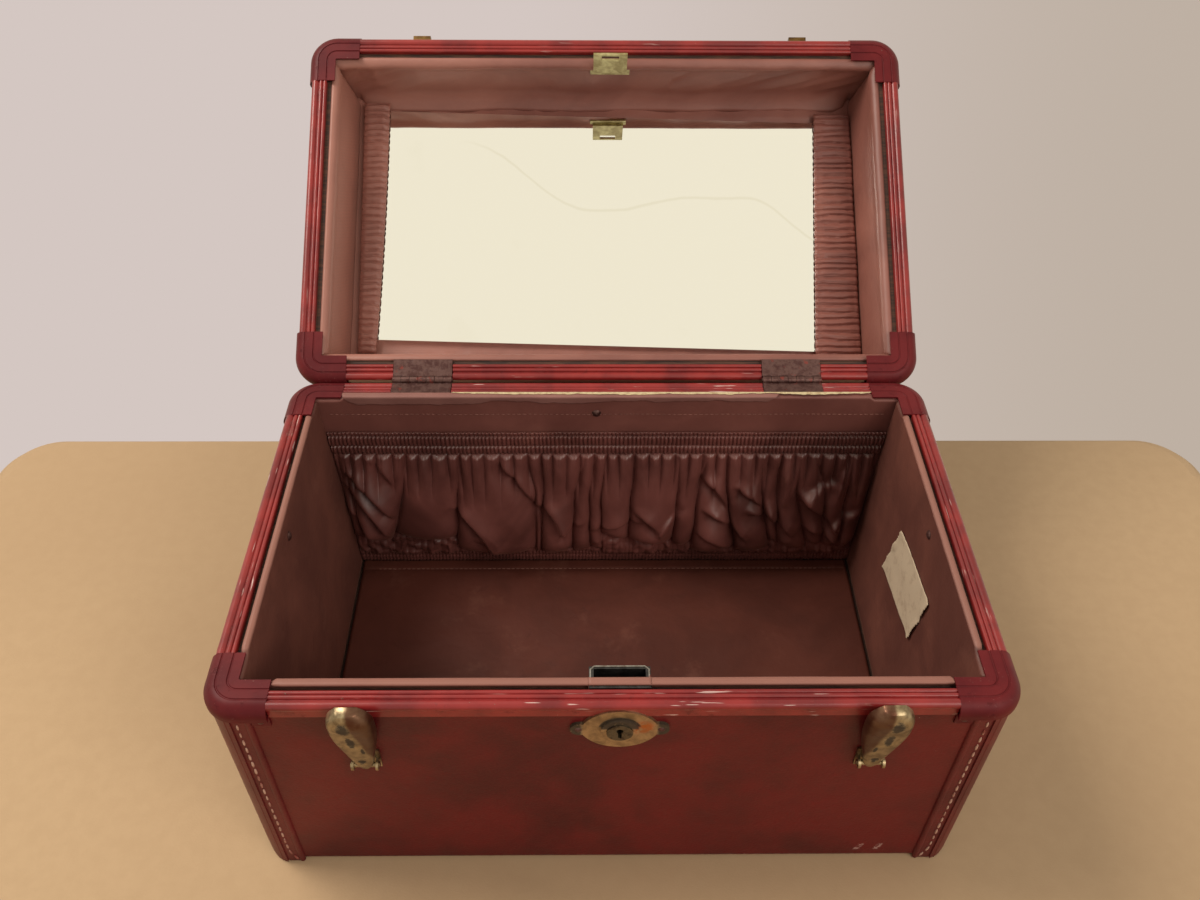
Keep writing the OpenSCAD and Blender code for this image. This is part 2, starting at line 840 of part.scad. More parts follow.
module floor_pad() {
    wide = 2 * (lining_half_w(floor_z) - pad_gap);
    deep = 2 * (inner_half_d - pad_gap);
    color("#744a40") translate([0, 0, floor_z]) linear_extrude(pad_t) rounded_plan(wide, deep, 8);
}

module pocket_top_band() {
    len = 2 * lining_half_w(pouch_top) - 2 * slide_gap;
    color("#6b4038") translate([0, rear_face_y - slide_gap, pouch_top + slide_gap])
        linear_extrude(top_band_h - slide_gap) gathered_plan(len, band_gathers, band_t, 0.9);
}

module pocket_pouch() {
    color("#7a4a42") translate([0, rear_face_y - slide_gap, 0]) pouch();
}

module pocket_bottom_band() {
    len = 2 * lining_half_w(floor_z + pad_t) - 2 * slide_gap;
    color("#6b4038") translate([0, rear_face_y - slide_gap, floor_z + pad_t + slide_gap])
        linear_extrude(low_band_h - 2 * slide_gap) gathered_plan(len, band_gathers, band_t, 0.9);
}

screw_r = 2.4;
screw_below = 11;

module lining_screws() {
    color("#3c3330") {
        translate([-6, rear_face_y, body_h - screw_below]) rotate([90, 0, 0]) rivet_head(screw_r);
        for (s = [0, 1])
            mirror([s, 0, 0])
                translate([lining_half_w(body_h + lip_rise - screw_below / cos(side_lean)), 0, body_h - screw_below])
                    rotate([0, side_lean - 90, 0]) translate([0, 0, 0.1]) rivet_head(screw_r);
    }
}

module lock_escutcheon() {
    plate_t = 1.6;
    ring_t = 2.8;
    color("#a38a4a") at_front(lock_z) translate([0, wall_inset, 0]) rotate([90, 0, 0])
        difference() {
            union() {
                linear_extrude(plate_t) eye_plan();
                cylinder(r = plug_r + 2.6, h = ring_t);
            }
            translate([0, 0, -1]) cylinder(r = plug_r + running, h = ring_t + 2);
            skirt_low = rail_top_z - rail_skirt - lock_z - slide_gap;
            translate([-frame_w / 2, skirt_low, -1]) cube([frame_w, frame_d, 1 + wall_inset - skirt_inset + eps]);
        }
}

module lock_rivets() {
    color("#3c3426") at_front(lock_z)
        for (s = [-1, 1])
            translate([s * ear_x, wall_inset - 1.6, 0]) rotate([90, 0, 0]) rivet_head(rivet_r);
}

module lock_case() {
    wide = lock_case_w;
    color("#77746c") at_front(0)
        difference() {
            translate([-wide / 2, wall_in_u, lock_case_top - lock_case_h])
                cube([wide, case_u1 - wall_in_u, lock_case_h]);
            translate([-socket_w / 2, socket_u0, body_h - hasp_drop - 3])
                cube([socket_w, socket_t, hasp_drop + 10]);
            translate([-bolt_half - slide_gap, bolt_tip_u - bolt_len - 1, bolt_z - bolt_h / 2 - slide_gap])
                cube([2 * (bolt_half + slide_gap), bolt_len + bolt_travel, bolt_h + 2 * slide_gap]);
            translate([0, wall_in_u - 1, lock_z]) rotate([-90, 0, 0]) cylinder(r = plug_r + 0.5, h = 5);
            translate([0, wall_in_u, lock_z]) rotate([-90, 0, 0]) cylinder(r = 2 + running, h = 8);
            translate([-wide / 2 - 1, wall_in_u - 1, rail_top_z - rail_t])
                cube([wide + 2, rail_w - wall_in_u + 1 + slide_gap, rail_t + 2]);
        }
}

module lock_plug() {
    key_w = 1.6;
    key_h = 6;
    color("#8f7a42") at_front(lock_z)
        difference() {
            union() {
                translate([0, wall_inset - 3.4, 0]) rotate([-90, 0, 0])
                    cylinder(r = plug_r, h = wall_in_u + 3 - wall_inset + 3.4);
                translate([0, wall_in_u, 0]) rotate([-90, 0, 0]) cylinder(r = 2, h = 7.5);
            }
            translate([-key_w / 2, wall_inset - 4.4, -key_h / 2 - 0.6]) cube([key_w, 6, key_h]);
            translate([0, wall_inset - 4.4, 1.6]) rotate([-90, 0, 0]) cylinder(r = 1.5, h = 6);
        }
}

module lock_bolt() {
    color("#8c8a84") at_front(bolt_z)
        translate([-bolt_half, bolt_tip_u - bolt_len, -bolt_h / 2]) cube([2 * bolt_half, bolt_len, bolt_h]);
}

module latch_plates() {
    color("#9a8247") for (s = [-1, 1]) place_latch(s, 0) latch_plate();
}

module latch_pins() {
    reach = tail_half_w + ear_gap + ear_t + 0.5;
    color("#6d5c34") for (s = [-1, 1])
        place_latch(s, 0) translate([-reach, 0, 0]) rotate([0, 90, 0]) cylinder(r = latch_pin_r, h = 2 * reach);
}

module latch_lever_left() {
    color("#a38a4a") place_latch(-1, latch_lean) lever();
}

module latch_lever_right() {
    color("#a38a4a") place_latch(1, latch_lean) lever();
}

module body_hinge_leaves() {
    color("#4d3a36") both_hinges() leaf(0);
}

module hinge_pins() {
    reach = hinge_w / 2 + 0.4;
    color("#5b4742") both_hinges()
        translate([-reach, hinge_y, hinge_z]) rotate([0, 90, 0]) cylinder(r = hinge_pin_r, h = 2 * reach);
}

// Sub-parts of the lid

module lid_shell() {
    color("#7a2626") swing_open()
        translate([0, 0, lid_top_z]) mirror([0, 0, 1]) tray(lid_h - rail_drop - rail_t, lid_wall_t);
}

module lid_batten() {
    color("#4a3424") swing_open() reflect_up() lid_ring();
}

// The lid's ring leaves room for the latch and catch, so it is whole all round
module lid_ring() {
    difference() {
        batten(lid_wall_in_u);
        translate([-half_w, -half_d, 0]) cube([frame_w, 1, 1]);
    }
    translate([lock_x0 - 1, -half_d + lid_wall_in_u, wall_top - batten_h])
        cube([lock_case_w + 2, lip_u - lid_wall_in_u, batten_h]);
}

module lid_rail_front() {
    color("#a8322e") swing_open() reflect_up() long_rail();
}

module lid_rail_rear() {
    color("#a8322e") swing_open() reflect_up() hinged_rail();
}

module lid_rail_left() {
    color("#a8322e") swing_open() reflect_up() side_rail(LEFT);
}

module lid_rail_right() {
    color("#a8322e") swing_open() reflect_up() side_rail(RIGHT);
}

module lid_cap_front_left() {
    color("#7d2f30") swing_open() reflect_up() cap(-1, -1);
}

module lid_cap_front_right() {
    color("#7d2f30") swing_open() reflect_up() cap(1, -1);
}

module lid_cap_rear_left() {
    color("#7d2f30") swing_open() reflect_up() cap(-1, 1);
}

module lid_cap_rear_right() {
    color("#7d2f30") swing_open() reflect_up() cap(1, 1);
}

module lid_cap_rivets() {
    color("#5a4a48") swing_open() reflect_up() cap_rivets();
}

module lid_bindings() {
    top = lid_h - cap_r - slide_gap;
    color("#6e2424") swing_open()
        translate([0, 0, lid_top_z]) mirror([0, 0, 1]) binding_set(top);
}

// Turns a board made for the base into one for the lid, top edge down
module lid_board_frame() {
    translate([0, 0, lid_board_low + mirror_board_z]) mirror([0, 0, 1]) children();
}

module lid_lining_front() {
    color("#7b4f45") swing_open() lid_board_frame()
        translate([0, -half_d + lip_u, 0]) long_board(mirror_board_z, mirror_board_z, lid_board_low);
}

module lid_lining_rear() {
    color("#7b4f45") swing_open() lid_board_frame()
        translate([0, rear_face_y, 0]) long_board(mirror_board_z, mirror_board_z, lid_board_low);
}

module lid_side_board() {
    translate([inner_half_w, 0, 0])
        side_board(mirror_board_z, mirror_board_z, lid_board_low, lid_side_lean, cap_leg);
}

module lid_lining_left() {
    color("#7b4f45") swing_open() lid_board_frame() mirror([1, 0, 0]) lid_side_board();
}

module lid_lining_right() {
    color("#7b4f45") swing_open() lid_board_frame() lid_side_board();
}

module mirror_board() {
    color("#744a40") swing_open() translate([0, 0, mirror_board_z]) linear_extrude(mirror_board_t)
        rounded_plan(2 * min(half_w - lip_u, half_w - wall_inset - max(edge_r, lid_wall_t + 2) - eps),
                     2 * (half_d - lip_u), 6);
}

module mirror_glass() {
    color("#d8d8cc") swing_open() translate([0, mirror_y, mirror_z])
        rotate([0, 0, mirror_slip]) translate([-mirror_w / 2, -mirror_h / 2, 0]) cube([mirror_w, mirror_h, mirror_t]);
}

module mirror_pocket_left() {
    color("#6b4038") swing_open() shirred_pocket(-1);
}

module mirror_pocket_right() {
    color("#6b4038") swing_open() shirred_pocket(1);
}

catch_plate_w = 23;
catch_plate_t = hasp_u - inner_u;
catch_plate_h = 9;
catch_z = lid_board_low + 1.5;

module catch_plate() {
    color("#5c5036") swing_open() at_front(catch_z)
        translate([-catch_plate_w / 2, inner_u, 0]) cube([catch_plate_w, catch_plate_t, catch_plate_h]);
}

// Folded hasp with a window for the bolt
module catch_hasp() {
    low = body_h - hasp_drop;
    window_w = 2 * bolt_half + 3;
    window_h = bolt_h + 1.6;
    color("#b09a55") swing_open() at_front(0)
        difference() {
            translate([-hasp_w / 2, hasp_u, low]) cube([hasp_w, hasp_t, catch_z + 5 - low]);
            translate([-window_w / 2, hasp_u - 1, bolt_z - window_h / 2]) cube([window_w, hasp_t + 2, window_h]);
        }
}

// Blocks on the lid rail that the levers hook over; their feet follow the bead
module latch_strikes() {
    strike_half = 5;
    strike_out = 3;
    under_hook = 2.2;
    z1 = latch_z + lever_len - under_hook;
    color("#8d7840") swing_open()
        difference() {
            for (s = [-1, 1])
                translate([fittings_x + s * latch_x - strike_half, -half_d - strike_out, z1 - 3.5])
                    cube([2 * strike_half, strike_out + wall_inset, 3.5]);
            reflect_up() long_rail();
        }
}

module lid_hinge_leaves() {
    color("#4d3a36") swing_open() reflect_up() both_hinges() leaf(1);
}

module handle_posts() {
    color("#a38a4a") swing_open()
        for (s = [-1, 1])
            translate([s * handle_x, 0, lid_top_z])
                difference() {
                    union() {
                        translate([-post_base_l / 2, -post_base_w / 2, 0]) cube([post_base_l, post_base_w, post_base_t]);
                        for (e = [-1, 1])
                            translate([e * (lug_t / 2 + post_gap + post_t / 2), 0, 0]) {
                                translate([-post_t / 2, -post_r, 0]) cube([post_t, 2 * post_r, handle_pivot_h]);
                                translate([-post_t / 2, 0, handle_pivot_h]) rotate([0, 90, 0]) cylinder(r = post_r, h = post_t);
                            }
                    }
                    translate([-post_base_l, 0, handle_pivot_h]) rotate([0, 90, 0])
                        cylinder(r = handle_pin_r + eps, h = 2 * post_base_l);
                }
}

module handle_pins() {
    reach = lug_t / 2 + post_gap + post_t;
    color("#8d7840") swing_open() at_handle(0)
        for (s = [-1, 1])
            translate([s * handle_x, 0, 0]) rotate([0, 90, 0]) {
                cylinder(r = handle_pin_r, h = 2 * reach, center = true);
                for (e = [0, 1])
                    mirror([0, 0, e]) translate([0, 0, reach]) rivet_head(handle_pin_r + 1);
            }
}

module handle_end_caps() {
    color("#a38a4a") swing_open() at_handle(handle_turn)
        for (s = [-1, 1])
            translate([s * handle_x, 0, 0])
                difference() {
                    union() {
                        rotate([0, 90, 0]) cylinder(r = lug_r, h = lug_t, center = true);
                        translate([-lug_t / 2, -lug_r, 0]) cube([lug_t, 2 * lug_r, lug_r + 1]);
                        translate([0, 0, lug_r]) cylinder(r = leg_r + 1, h = end_cap_h);
                    }
                    translate([0, 0, lug_r + 1.5]) cylinder(r = leg_r, h = end_cap_h);
                    translate([-lug_t, 0, 0]) rotate([0, 90, 0]) cylinder(r = handle_pin_r + running, h = 2 * lug_t);
                }
}

module handle_grip() {
    grip_half = 31;
    color("#6a2422") swing_open() at_handle(handle_turn) {
        difference() {
            handle_core(handle_r);
            translate([0, 0, -1]) cube([4 * handle_x, 6 * handle_r, 2 * (lug_r + 2.5)], center = true);
        }
        translate([-grip_half, 0, handle_drop]) rotate([0, 90, 0]) cylinder(r = grip_r, h = 2 * grip_half);
    }
}

body_shell();
body_batten();
body_rail_front();
body_rail_rear();
body_rail_left();
body_rail_right();
body_cap_front_left();
body_cap_front_right();
body_cap_rear_left();
body_cap_rear_right();
body_cap_rivets();
body_bindings();
front_lining();
rear_lining();
left_lining();
right_lining();
floor_pad();
pocket_top_band();
pocket_pouch();
pocket_bottom_band();
lining_screws();
lock_escutcheon();
lock_rivets();
lock_case();
lock_plug();
lock_bolt();
latch_plates();
latch_pins();
latch_lever_left();
latch_lever_right();
body_hinge_leaves();
hinge_pins();
lid_shell();
lid_batten();
lid_rail_front();
lid_rail_rear();
lid_rail_left();
lid_rail_right();
lid_cap_front_left();
lid_cap_front_right();
lid_cap_rear_left();
lid_cap_rear_right();
lid_cap_rivets();
lid_bindings();
lid_lining_front();
lid_lining_rear();
lid_lining_left();
lid_lining_right();
mirror_board();
mirror_glass();
mirror_pocket_left();
mirror_pocket_right();
catch_plate();
catch_hasp();
latch_strikes();
lid_hinge_leaves();
handle_posts();
handle_pins();
handle_end_caps();
handle_grip();
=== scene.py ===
import bpy
import bmesh
from math import copysign, cos, exp, hypot, pi, radians, sin, sqrt, tan, tanh
from mathutils import Matrix, Vector, noise


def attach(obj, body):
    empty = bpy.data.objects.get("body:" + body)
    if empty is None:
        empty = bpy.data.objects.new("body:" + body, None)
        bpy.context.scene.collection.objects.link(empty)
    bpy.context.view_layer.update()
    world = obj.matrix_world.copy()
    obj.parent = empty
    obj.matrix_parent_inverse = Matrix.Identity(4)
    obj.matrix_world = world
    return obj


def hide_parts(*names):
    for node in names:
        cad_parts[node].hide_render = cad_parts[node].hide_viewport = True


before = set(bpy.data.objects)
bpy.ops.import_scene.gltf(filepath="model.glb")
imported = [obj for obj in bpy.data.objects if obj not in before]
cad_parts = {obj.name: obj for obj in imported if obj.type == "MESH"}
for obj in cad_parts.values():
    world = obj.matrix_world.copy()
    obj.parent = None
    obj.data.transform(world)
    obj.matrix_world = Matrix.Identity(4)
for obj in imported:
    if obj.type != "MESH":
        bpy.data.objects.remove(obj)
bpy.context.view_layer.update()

# Sizes of the case in millimetres, as the construction has them
HALF_W = 170.0
HALF_D = 102.5
BODY_H = 139.0
OPEN_ANGLE = 145.0
HINGE_Y = 103.076
HINGE_Z = 139.15
LID_TOP = 189.3
RAIL_END = 142.5
LINING_X = 155.7
LINING_Y = 88.2
WALL_LEAN = tan(radians(2.2))
BOARD = 3.0
BOARD_HALF = 158.6
CLOTH_Y = LINING_Y - 0.15
SHELL_IN = 1.2
STITCH_IN = 12.6
SOCKET_HALF = 13.3
FITTINGS_X = 2.5
LOCK_Z = 121.5
LIP = BODY_H + 0.8
LATCH_X = 110
LATCH_FOOT_Z = 97.0
HINGE_X = 101

INK = 0.001
SWING = (
    Matrix.Translation((0, HINGE_Y, HINGE_Z))
    @ Matrix.Rotation(radians(-OPEN_ANGLE), 4, "X")
    @ Matrix.Translation((0, -HINGE_Y, -HINGE_Z))
)
STILL = Matrix.Identity(4)


def tint(red, green, blue):
    """A colour read off a screen, as the linear colour that a shader takes."""
    def linear(c):
        c = c / 255
        return c / 12.92 if c <= 0.04045 else ((c + 0.055) / 1.055) ** 2.4
    return (linear(red), linear(green), linear(blue), 1.0)


def add_node(tree, kind, settings=None, values=None):
    """Makes a node: its type, its settings, then a value or a link for its sockets; gives its outputs."""
    node = tree.nodes.new(kind)
    for key, value in (settings or {}).items():
        setattr(node, key, value)
    for key, value in (values or {}).items():
        if isinstance(value, bpy.types.NodeSocket):
            tree.links.new(value, node.inputs[key])
        elif value is not None:
            node.inputs[key].default_value = value
    return node.outputs


def placed(name, data):
    """A new object in the scene."""
    thing = bpy.data.objects.new(name, data)
    bpy.context.scene.collection.objects.link(thing)
    return thing


# Shader maths

class Wire:
    """A socket of one finish that takes arithmetic."""

    def __init__(self, finish, socket):
        self.finish = finish
        self.socket = socket

    def math(self, operation, other=None, turned=False):
        values = {0: other, 1: self} if turned else {0: self, 1: other}
        return self.finish.node("Math", {"operation": operation}, values)[0]

    def __add__(self, other):
        return self.math("ADD", other)

    def __sub__(self, other):
        return self.math("SUBTRACT", other)

    def __rsub__(self, other):
        return self.math("SUBTRACT", other, True)

    def __mul__(self, other):
        return self.math("MULTIPLY", other)

    __radd__ = __add__
    __rmul__ = __mul__

    def abs(self):
        return self.math("ABSOLUTE")

    def sin(self):
        return self.math("SINE")

    def most(self, other):
        return self.math("MAXIMUM", other)

    def step(self, low, high):
        """0 below low, 1 above high, smooth between them; low may be the larger."""
        values = {"Value": self, "From Min": min(low, high), "From Max": max(low, high)}
        result = self.finish.node("MapRange", {"interpolation_type": "SMOOTHSTEP"}, values)["Result"]
        return result if low < high else 1 - result


class Made:
    """A node that has been made; its outputs are read by name or number."""

    def __init__(self, finish, outputs):
        self.finish = finish
        self.outputs = outputs

    def __getitem__(self, key):
        return Wire(self.finish, self.outputs[key])


class Finish:
    """One material. Places are in millimetres; a lid's finish is laid out on the closed lid."""

    def __init__(self, name, on_lid=False):
        self.material = bpy.data.materials.new(name)
        self.material.use_nodes = True
        self.tree = self.material.node_tree
        self.tree.nodes.clear()
        self.shader = self.tree.nodes.new("ShaderNodeBsdfPrincipled")
        output = self.tree.nodes.new("ShaderNodeOutputMaterial")
        self.tree.links.new(self.shader.outputs[0], output.inputs[0])
        place = self.node("TexCoord")["Object"]
        if on_lid:
            turn = radians(OPEN_ANGLE)
            hinge = Vector((0, HINGE_Y * INK, HINGE_Z * INK))
            moved = hinge - Matrix.Rotation(turn, 3, "X") @ hinge
            values = {"Vector": place, "Rotation": (turn, 0, 0), "Location": moved}
            place = self.node("Mapping", {"vector_type": "POINT"}, values)["Vector"]
        self.place = self.stretched(place, (1000, 1000, 1000))
        parts = self.node("SeparateXYZ", None, {0: self.place})
        self.x, self.y, self.z = parts[0], parts[1], parts[2]

    def node(self, kind, settings=None, values=None):
        plain = {key: value.socket if isinstance(value, Wire) else value for key, value in (values or {}).items()}
        return Made(self, add_node(self.tree, "ShaderNode" + kind, settings, plain))

    def stretched(self, vector, factors):
        return self.node("VectorMath", {"operation": "MULTIPLY"}, {0: vector, 1: factors})["Vector"]

    def noise(self, size, detail=3.0, rough=0.55, bend=0.0, stretch=None):
        """Noise whose features are about size millimetres across."""
        vector = self.stretched(self.place, stretch) if stretch else self.place
        values = {"Vector": vector, "Scale": 1 / size, "Detail": detail, "Roughness": rough, "Distortion": bend}
        return self.node("TexNoise", {"noise_dimensions": "3D"}, values)["Fac"]

    def grain(self, size):
        values = {"Vector": self.place, "Scale": 1 / size}
        return self.node("TexVoronoi", {"feature": "SMOOTH_F1"}, values)["Distance"]

    def blend(self, first, second, factor, how="MIX"):
        settings = {"data_type": "RGBA", "blend_type": how}
        first, second = (tint(*c) if isinstance(c, tuple) else c for c in (first, second))
        return self.node("Mix", settings, {0: factor, 6: first, 7: second})[2]

    def tone(self, first, second, factor):
        """The ground colour: first where factor is 0, second where it is 1."""
        self.colour = self.blend(first, second, factor)

    def paint(self, colour, factor):
        """Lays a colour over what is there."""
        self.colour = self.blend(self.colour, colour, factor)

    def darken(self, factor):
        grey = self.node("CombineColor", None, {0: factor, 1: factor, 2: factor})[0]
        self.colour = self.blend(self.colour, grey, 1.0, "MULTIPLY")

    def bump(self, height, depth, under=None):
        """A surface that rises depth millimetres with height 1."""
        values = {"Height": height, "Strength": 1.0, "Distance": depth * INK, "Normal": under}
        return self.node("Bump", None, values)["Normal"]

    def wear(self, **sockets):
        """Sets the shader's sockets; a Wire is linked and a number is written on the socket."""
        sockets["Base_Color"] = self.colour
        for key, value in sockets.items():
            socket = self.shader.inputs[key.replace("_", " ")]
            if isinstance(value, Wire):
                self.tree.links.new(value.socket, socket)
            else:
                socket.default_value = value
        return self.material


# Finishes

def cover_cloth(name, on_lid, base, deep, rub, inside=None, marks=1.0):
    """Grained maroon leatherette, rubbed lighter where hands and shelves touch it."""
    f = Finish(name, on_lid)
    broad = f.noise(85, 3, 0.6, 0.8)
    cloudy = f.noise(19, 4, 0.6)
    f.tone(deep, base, (broad * 0.75 + cloudy * 0.35).step(0.40, 0.70))
    rubbed = f.noise(11, 6, 0.72, 0.4).step(0.58, 0.76) * f.noise(70, 2).step(0.44, 0.62)
    f.paint(rub, rubbed * 0.42)
    streak = f.noise(3.4, 5, 0.7, 0.0, (0.12, 0.6, 1.0)).step(0.67, 0.75) * f.noise(40, 2).step(0.5, 0.62)
    f.paint((138, 56, 42), streak * 0.35)
    dark = f.noise(2.3, 4, 0.7).step(0.66, 0.72) * f.noise(52, 2).step(0.46, 0.6)
    f.paint((48, 14, 14), dark * 0.5)
    speck = f.noise(1.7, 2, 0.5).step(0.805, 0.83) * f.noise(46, 2).step(0.46, 0.56) * marks
    f.paint((214, 184, 170), speck * 0.85)
    for middle in (123.0, 132.5):
        low = f.z - 10.5
        scrape = (f.x - middle - low * 0.35).abs().step(1.9, 0.9) * low.abs().step(3.6, 2.2)
        scrape = scrape * (f.y + 100).step(0, -2) * f.noise(1.2, 2).step(0.44, 0.54)
        f.paint((206, 168, 158), scrape * 0.8)
    grain = f.grain(1.15)
    f.darken(0.84 + grain * 0.28)
    pits = f.noise(0.6, 2, 0.5)
    normal = f.bump(grain * 0.75 + pits * 0.25, 0.08)
    normal = f.bump(f.noise(24, 2, 0.5), 0.45, normal)
    rough = 0.34 + rubbed * 0.20 + cloudy * 0.18 + speck * 0.2
    if inside is not None:
        hidden = f.x.abs().step(HALF_W - 5.4, HALF_W - 6.0) * f.y.abs().step(HALF_D - 4.9, HALF_D - 5.5)
        hidden = hidden * inside(f)
        fibre = f.noise(1.4, 4, 0.7).step(0.3, 0.7)
        f.paint(f.blend((46, 30, 24), (66, 44, 34), fibre), hidden)
        rough = rough.most(hidden * 0.9)
    return f.wear(Roughness=rough, Normal=normal, Specular_IOR_Level=0.3)


def enamel(name, on_lid, base, deep, bare, along, worn, glow=1.0):
    """Painted sheet steel with scratches that run along the piece and chips down to metal."""
    f = Finish(name, on_lid)
    stretch = {"x": (0.06, 1.0, 1.0), "y": (1.0, 0.06, 1.0), "all": (1.0, 1.0, 1.0)}[along]
    cloudy = f.noise(26, 4, 0.6)
    f.tone(deep, base, cloudy.step(0.34, 0.66))
    lines = f.noise(0.85, 4, 0.6, 0.0, stretch)
    patch = f.noise(20, 3, 0.65)
    scratch = (lines * 0.55 + patch * 0.5).step(0.66 - worn, 0.74 - worn)
    chips = f.noise(2.1, 5, 0.75).step(0.69 - worn * 0.6, 0.725 - worn * 0.6)
    shine = f.noise(1.6, 3, 0.6)
    metal = f.blend(bare, (92, 74, 68), shine.step(0.4, 0.62))
    f.paint((168, 92, 84), scratch * 0.5)
    f.paint(metal, chips.most(scratch * 0.3))
    nick = f.noise(1.3, 2, 0.5, 0.0, stretch).step(0.66, 0.70) * f.noise(36, 2).step(0.47, 0.57)
    f.paint((226, 196, 186), nick * glow * (0.3 + worn * 14))
    grime = f.noise(5, 5, 0.7).step(0.58, 0.72)
    f.darken(1 - grime * 0.32)
    normal = f.bump(chips * -1.0 + lines * 0.10, 0.05)
    normal = f.bump(f.noise(9, 2), 0.10, normal)
    rough = 0.27 + (1 - glow) * 0.16 + scratch * 0.22 + grime * 0.2 + cloudy * 0.10
    return f.wear(
        Roughness=rough, Metallic=chips * 0.7, Normal=normal,
        Coat_Weight=0.12 * glow, Coat_Roughness=0.3, Specular_IOR_Level=0.11 + 0.31 * glow,
    )


def old_brass(name, on_lid, bright, dull, spots, on_lock=False, dark_spots=()):
    """Thin brass plate gone olive, with dark pits and marks, bright rubbed patches and some rust; painted shade above
    the lock's plug and a painted reflection of the red cover on a latch's inner side.
    """
    f = Finish(name, on_lid)
    cloudy = f.noise(5.5, 4, 0.6, 0.5)
    f.tone(dull, bright, cloudy.step(0.32, 0.66))
    dark = f.noise(2.6, 5, 0.7, 0.8).step(0.64 - spots * 0.10, 0.74)
    f.paint((74, 56, 38), dark * 0.75)
    rust = f.noise(1.3, 4, 0.7).step(0.68, 0.74) * 0.5
    mark = None
    if on_lock:
        aside = f.x - FITTINGS_X
        above = f.z - LOCK_Z
        near = ((aside - 10.0) * (aside - 10.0) + (above - 2.0) * (above - 2.0)).step(34.0, 5.0)
        rust = rust.most(near * f.noise(3.4, 4, 0.7).step(0.34, 0.6))
        ends = aside.abs().step(15.2, 17.0)
        # Painted shade in the recess above the plug
        recess_shade = (aside * aside + above * above).step(92.0, 78.0) * above.step(1.5, 3.0)
        mark = ends.most(recess_shade) * f.noise(2.0, 3, 0.6).step(0.22, 0.42)
    f.paint((176, 96, 36), rust)
    for off, up, wide, tall in dark_spots:
        across = ((f.x - FITTINGS_X).abs() - LATCH_X - off) * (1 / wide)
        along = (f.z - LATCH_FOOT_Z - up) * (1 / tall)
        edge = f.noise(1.9, 3, 0.7) * 2.0 - 0.6
        dark_spot = (across * across + along * along + edge).step(1.5, 0.75)
        mark = dark_spot if mark is None else mark.most(dark_spot)
    if dark_spots:
        # Painted reflection: the red cover's reflection is painted down the inner side of each latch hood
        cover_reflection = (f.x - FITTINGS_X).abs() - LATCH_X - (f.z - LATCH_FOOT_Z) * 0.13 + 6.2
        cover_reflection = (cover_reflection + f.noise(4, 3, 0.6) * 1.6).step(1.6, -0.4)
        f.paint((78, 32, 24), cover_reflection * 0.8)
    # Dark marks painted on the plate: the lock plate's dark ends, painted shade above its plug, and a latch's dark
    # spots
    if mark is not None:
        f.paint((44, 32, 24), mark * 0.9)
        dark = dark.most(mark)
    rough = 0.30 + dark * 0.34 + cloudy * 0.14 + rust * 0.3
    normal = f.bump(f.noise(0.9, 4, 0.6) * 0.6 - dark * 0.4, 0.045)
    return f.wear(Roughness=rough, Metallic=0.9 - dark * 0.5 - rust * 0.4, Normal=normal)


def old_steel(name, on_lid, base, rusty, metallic):
    f = Finish(name, on_lid)
    cloudy = f.noise(3.2, 5, 0.7)
    stain = f.noise(1.4, 4, 0.7).step(0.52, 0.66)
    f.tone(base, rusty, cloudy.step(0.42, 0.64))
    f.paint((128, 52, 44), f.noise(5, 4, 0.6).step(0.60, 0.68) * 0.75)
    normal = f.bump(f.noise(0.7, 4, 0.65), 0.06)
    return f.wear(Roughness=0.36 + stain * 0.3, Metallic=metallic - stain * 0.3, Normal=normal)


def satin(name, on_lid, base, shade, pile, soil, gloss=0.0, lip=None, sheen=0.16, painted_light_left=0.0):
    """Fine lining cloth: a tight weave, faded patches and old stains; the lip's top is painted paler, as rubbed wear
    and as painted light, and a left part can be painted lighter as painted light.
    """
    f = Finish(name, on_lid)
    warp = (f.x * 11.0 + f.y * 3.1).sin() * 0.5 + 0.5
    weft = (f.z * 11.0 + f.y * 8.3).sin() * 0.5 + 0.5
    weave = warp * 0.5 + weft * 0.5
    broad = f.noise(60, 4, 0.6, 0.5)
    f.tone(shade, base, broad.step(0.30, 0.70))
    faded = f.noise(30, 5, 0.66).step(0.56, 0.72)
    f.paint((150, 100, 84), faded * 0.16)
    stain = f.noise(17, 6, 0.68, 0.6).step(0.60, 0.74) * soil
    f.paint((66, 36, 30), stain * 0.4)
    if painted_light_left:
        # Painted light: the left part of the lid's cloth is painted paler, in place of light that falls short there
        f.paint((190, 132, 114), f.x.step(-20, -158) * painted_light_left)
    if lip is not None:
        # The top of the lip is painted paler: rubbed wear, and painted light on the roll that faces up
        f.paint((176, 122, 106), f.z.step(lip - 1.6, lip - 0.5) * 0.55)
    f.darken(0.87 + weave * 0.2)
    normal = f.bump(weave * 0.5 + f.noise(0.5, 2) * 0.5, 0.03)
    normal = f.bump(f.noise(9, 4, 0.58, 0.4, (0.8, 1.0, 1.0)), 0.30 + pile, normal)
    rough = 0.50 - gloss * 0.16 + weave * 0.08 + stain * 0.2 - faded * 0.04
    return f.wear(
        Roughness=rough, Normal=normal, Sheen_Weight=sheen, Sheen_Roughness=0.4,
        Sheen_Tint=tint(190, 130, 110), Specular_IOR_Level=0.14 + 1.5 * sheen + gloss * 0.3,
    )


def thread(name, base, worn):
    f = Finish(name)
    twist = (f.z * 9.0 + f.x * 7.0 + f.y * 7.0).sin() * 0.5 + 0.5
    dirt = f.noise(9, 5, 0.7).step(0.45, 0.68)
    f.tone(base, worn, dirt)
    f.darken(0.8 + twist * 0.25)
    return f.wear(Roughness=0.8, Normal=f.bump(twist, 0.12))


